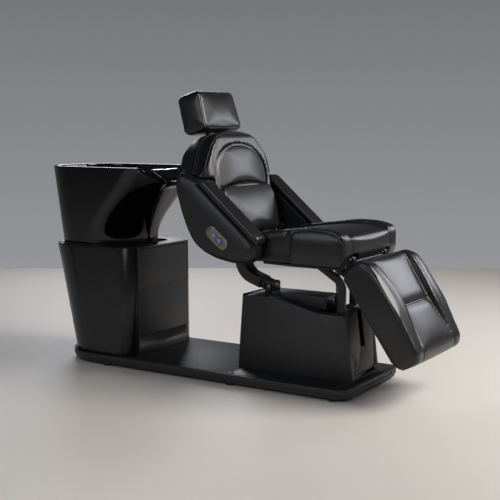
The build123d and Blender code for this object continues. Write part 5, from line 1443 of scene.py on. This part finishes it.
@dataclass
class Studio:
    """Pale floor, soft light and the camera at the photograph's angle."""

    camera_at: tuple[float, float, float] = (2.5523, -3.9719, 1.1485)
    azimuth_degrees: float = 32.01
    pitch_degrees: float = -7.0
    lens_mm: float = 73.45
    floor_far_m: float = 8.16
    floor_near_m: float = 12.0
    floor_half_m: float = 16.0
    lamps: tuple[tuple, ...] = (
        ("key", (3.2, 0.9, 2.9), (0.1, 0.0, 0.7), (2.4, 1.9), 190.0, "#fffaf5"),
        ("fill", (-0.8, -4.2, 2.6), (0.0, 0.0, 0.6), (2.6, 1.8), 45.0, "#eef3ff"),
        ("side", (1.8, 2.8, 1.7), (0.3, 0.0, 0.75), (0.9, 0.9), 18.0, "#f4f6ff"),
        ("rear", (-2.6, 2.4, 2.4), (-0.4, 0.0, 0.8), (1.6, 1.6), 60.0, "#f4f7ff"),
    )

    def plain(self, name: str, hex_code: str, roughness: float) -> bpy.types.Material:
        """Material of a painted studio surface with a faint mottling.

        Args:
            name: Material's name.
            hex_code: Its colour.
            roughness: Its mean roughness.

        Returns:
            The material.
        """
        made = bpy.data.materials.new(name)
        made.use_nodes = True
        tree = made.node_tree
        tree.nodes.clear()
        where = node(tree, "ShaderNodeTexCoord").outputs["Object"]
        mottle = node(tree, "ShaderNodeTexNoise", {"Scale": 0.8, "Detail": 3.0}, {"Vector": where})
        rough = node(tree, "ShaderNodeMapRange", {"To Min": roughness - 0.03, "To Max": roughness + 0.03},
                     {"Value": mottle.outputs[0]})
        shader = node(tree, "ShaderNodeBsdfPrincipled", {"Base Color": colour(hex_code)},
                      {"Roughness": rough.outputs[0]})
        node(tree, "ShaderNodeOutputMaterial", links={"Surface": shader.outputs[0]})
        return made

    def floor(self) -> None:
        """Flat floor whose far edge lies level across the picture."""
        turn = math.radians(self.azimuth_degrees)
        ahead = Vector((-math.sin(turn), math.cos(turn), 0.0))
        across = Vector((math.cos(turn), math.sin(turn), 0.0))
        under = Vector((self.camera_at[0], self.camera_at[1], 0.0))
        mould = bmesh.new()
        edges = [(self.floor_far_m, -self.floor_half_m), (-self.floor_near_m, -self.floor_half_m),
                 (-self.floor_near_m, self.floor_half_m), (self.floor_far_m, self.floor_half_m)]
        mould.faces.new([mould.verts.new(under + ahead * far + across * side) for far, side in edges])
        floor = cast(mould, "floor")
        floor.data.materials.append(self.plain("studio_floor_painted", "#cdc8c2", 0.55))

    def lamp(self, name: str, at: tuple[float, float, float], aim: tuple[float, float, float],
             size: tuple[float, float], watts: float, tint: str) -> None:
        """Soft area lamp.

        Args:
            name: Lamp's name.
            at: Its place.
            aim: What it points at.
            size: Its width and height in metres.
            watts: Its power.
            tint: Its colour.
        """
        data = bpy.data.lights.new(name, "AREA")
        data.shape = "RECTANGLE"
        data.size, data.size_y = size
        data.energy = watts
        data.color = colour(tint)[:3]
        lamp = bpy.data.objects.new(name, data)
        lamp.location = at
        lamp.rotation_mode = "QUATERNION"
        lamp.rotation_quaternion = (Vector(aim) - Vector(at)).to_track_quat("-Z", "Y")
        bpy.context.scene.collection.objects.link(lamp)

    def world(self) -> None:
        """Grey wall behind the part, half as bright in its reflections, and an even soft light."""
        world = bpy.data.worlds.new("studio")
        world.use_nodes = True
        tree = world.node_tree
        tree.nodes.clear()
        path = node(tree, "ShaderNodeLightPath")
        mirrored = node(tree, "ShaderNodeMath", {"operation": "ADD"},
                        {0: path.outputs["Is Glossy Ray"], 1: path.outputs["Is Transmission Ray"]})
        shown = node(tree, "ShaderNodeMath", {"operation": "ADD", "use_clamp": True},
                     {0: path.outputs["Is Camera Ray"], 1: mirrored.outputs[0]})
        where = node(tree, "ShaderNodeTexCoord").outputs["Generated"]
        way = node(tree, "ShaderNodeSeparateXYZ", {}, {0: where})
        rise = node(tree, "ShaderNodeMapRange", {"From Min": -0.15, "From Max": 0.45},
                    {"Value": way.outputs[2]})
        wall = node(tree, "ShaderNodeMix", {"data_type": "RGBA", 6: colour("#96979a"), 7: colour("#303032")},
                    {"Factor": rise.outputs[0]})
        soft = node(tree, "ShaderNodeBackground", {"Color": colour("#c9cbce"), "Strength": 0.26})
        seen_share = node(tree, "ShaderNodeMath", {"operation": "MULTIPLY_ADD", 1: 0.5, 2: 0.5},
                          {0: path.outputs["Is Camera Ray"]})
        seen = node(tree, "ShaderNodeBackground", {},
                    {"Color": wall.outputs[2], "Strength": seen_share.outputs[0]})
        mixed = node(tree, "ShaderNodeMixShader", {}, {0: shown.outputs[0]})
        tree.links.new(soft.outputs[0], mixed.inputs[1])
        tree.links.new(seen.outputs[0], mixed.inputs[2])
        node(tree, "ShaderNodeOutputWorld", {}, {"Surface": mixed.outputs[0]})
        bpy.context.scene.world = world

    def camera(self) -> None:
        """Camera at the photograph's place, height and angle."""
        data = bpy.data.cameras.new("camera")
        data.lens = self.lens_mm
        data.sensor_width = 36.0
        camera = bpy.data.objects.new("camera", data)
        camera.location = self.camera_at
        turn, pitch = math.radians(self.azimuth_degrees), math.radians(self.pitch_degrees)
        way = Vector((-math.sin(turn) * math.cos(pitch), math.cos(turn) * math.cos(pitch), math.sin(pitch)))
        camera.rotation_mode = "QUATERNION"
        camera.rotation_quaternion = way.to_track_quat("-Z", "Y")
        bpy.context.scene.collection.objects.link(camera)
        bpy.context.scene.camera = camera

    def build(self) -> None:
        """Builds the studio."""
        bpy.context.scene.view_settings.view_transform = "Standard"
        self.floor()
        self.world()
        for each in self.lamps:
            self.lamp(*each)
        self.camera()


def main() -> None:
    """Builds the whole scene in order."""
    logging.basicConfig(level=logging.INFO, format="%(message)s")
    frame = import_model()
    Hardware().build(frame)
    BasinSet().build(frame)
    SeatCushion().build(frame)
    LegrestCushion().build(frame)
    BackUpholstery().build(frame)
    Headrest().build(frame)
    Wings().build(frame)
    ControlPanel().build(frame)
    Studio().build()


if __name__ == "__main__":
    main()
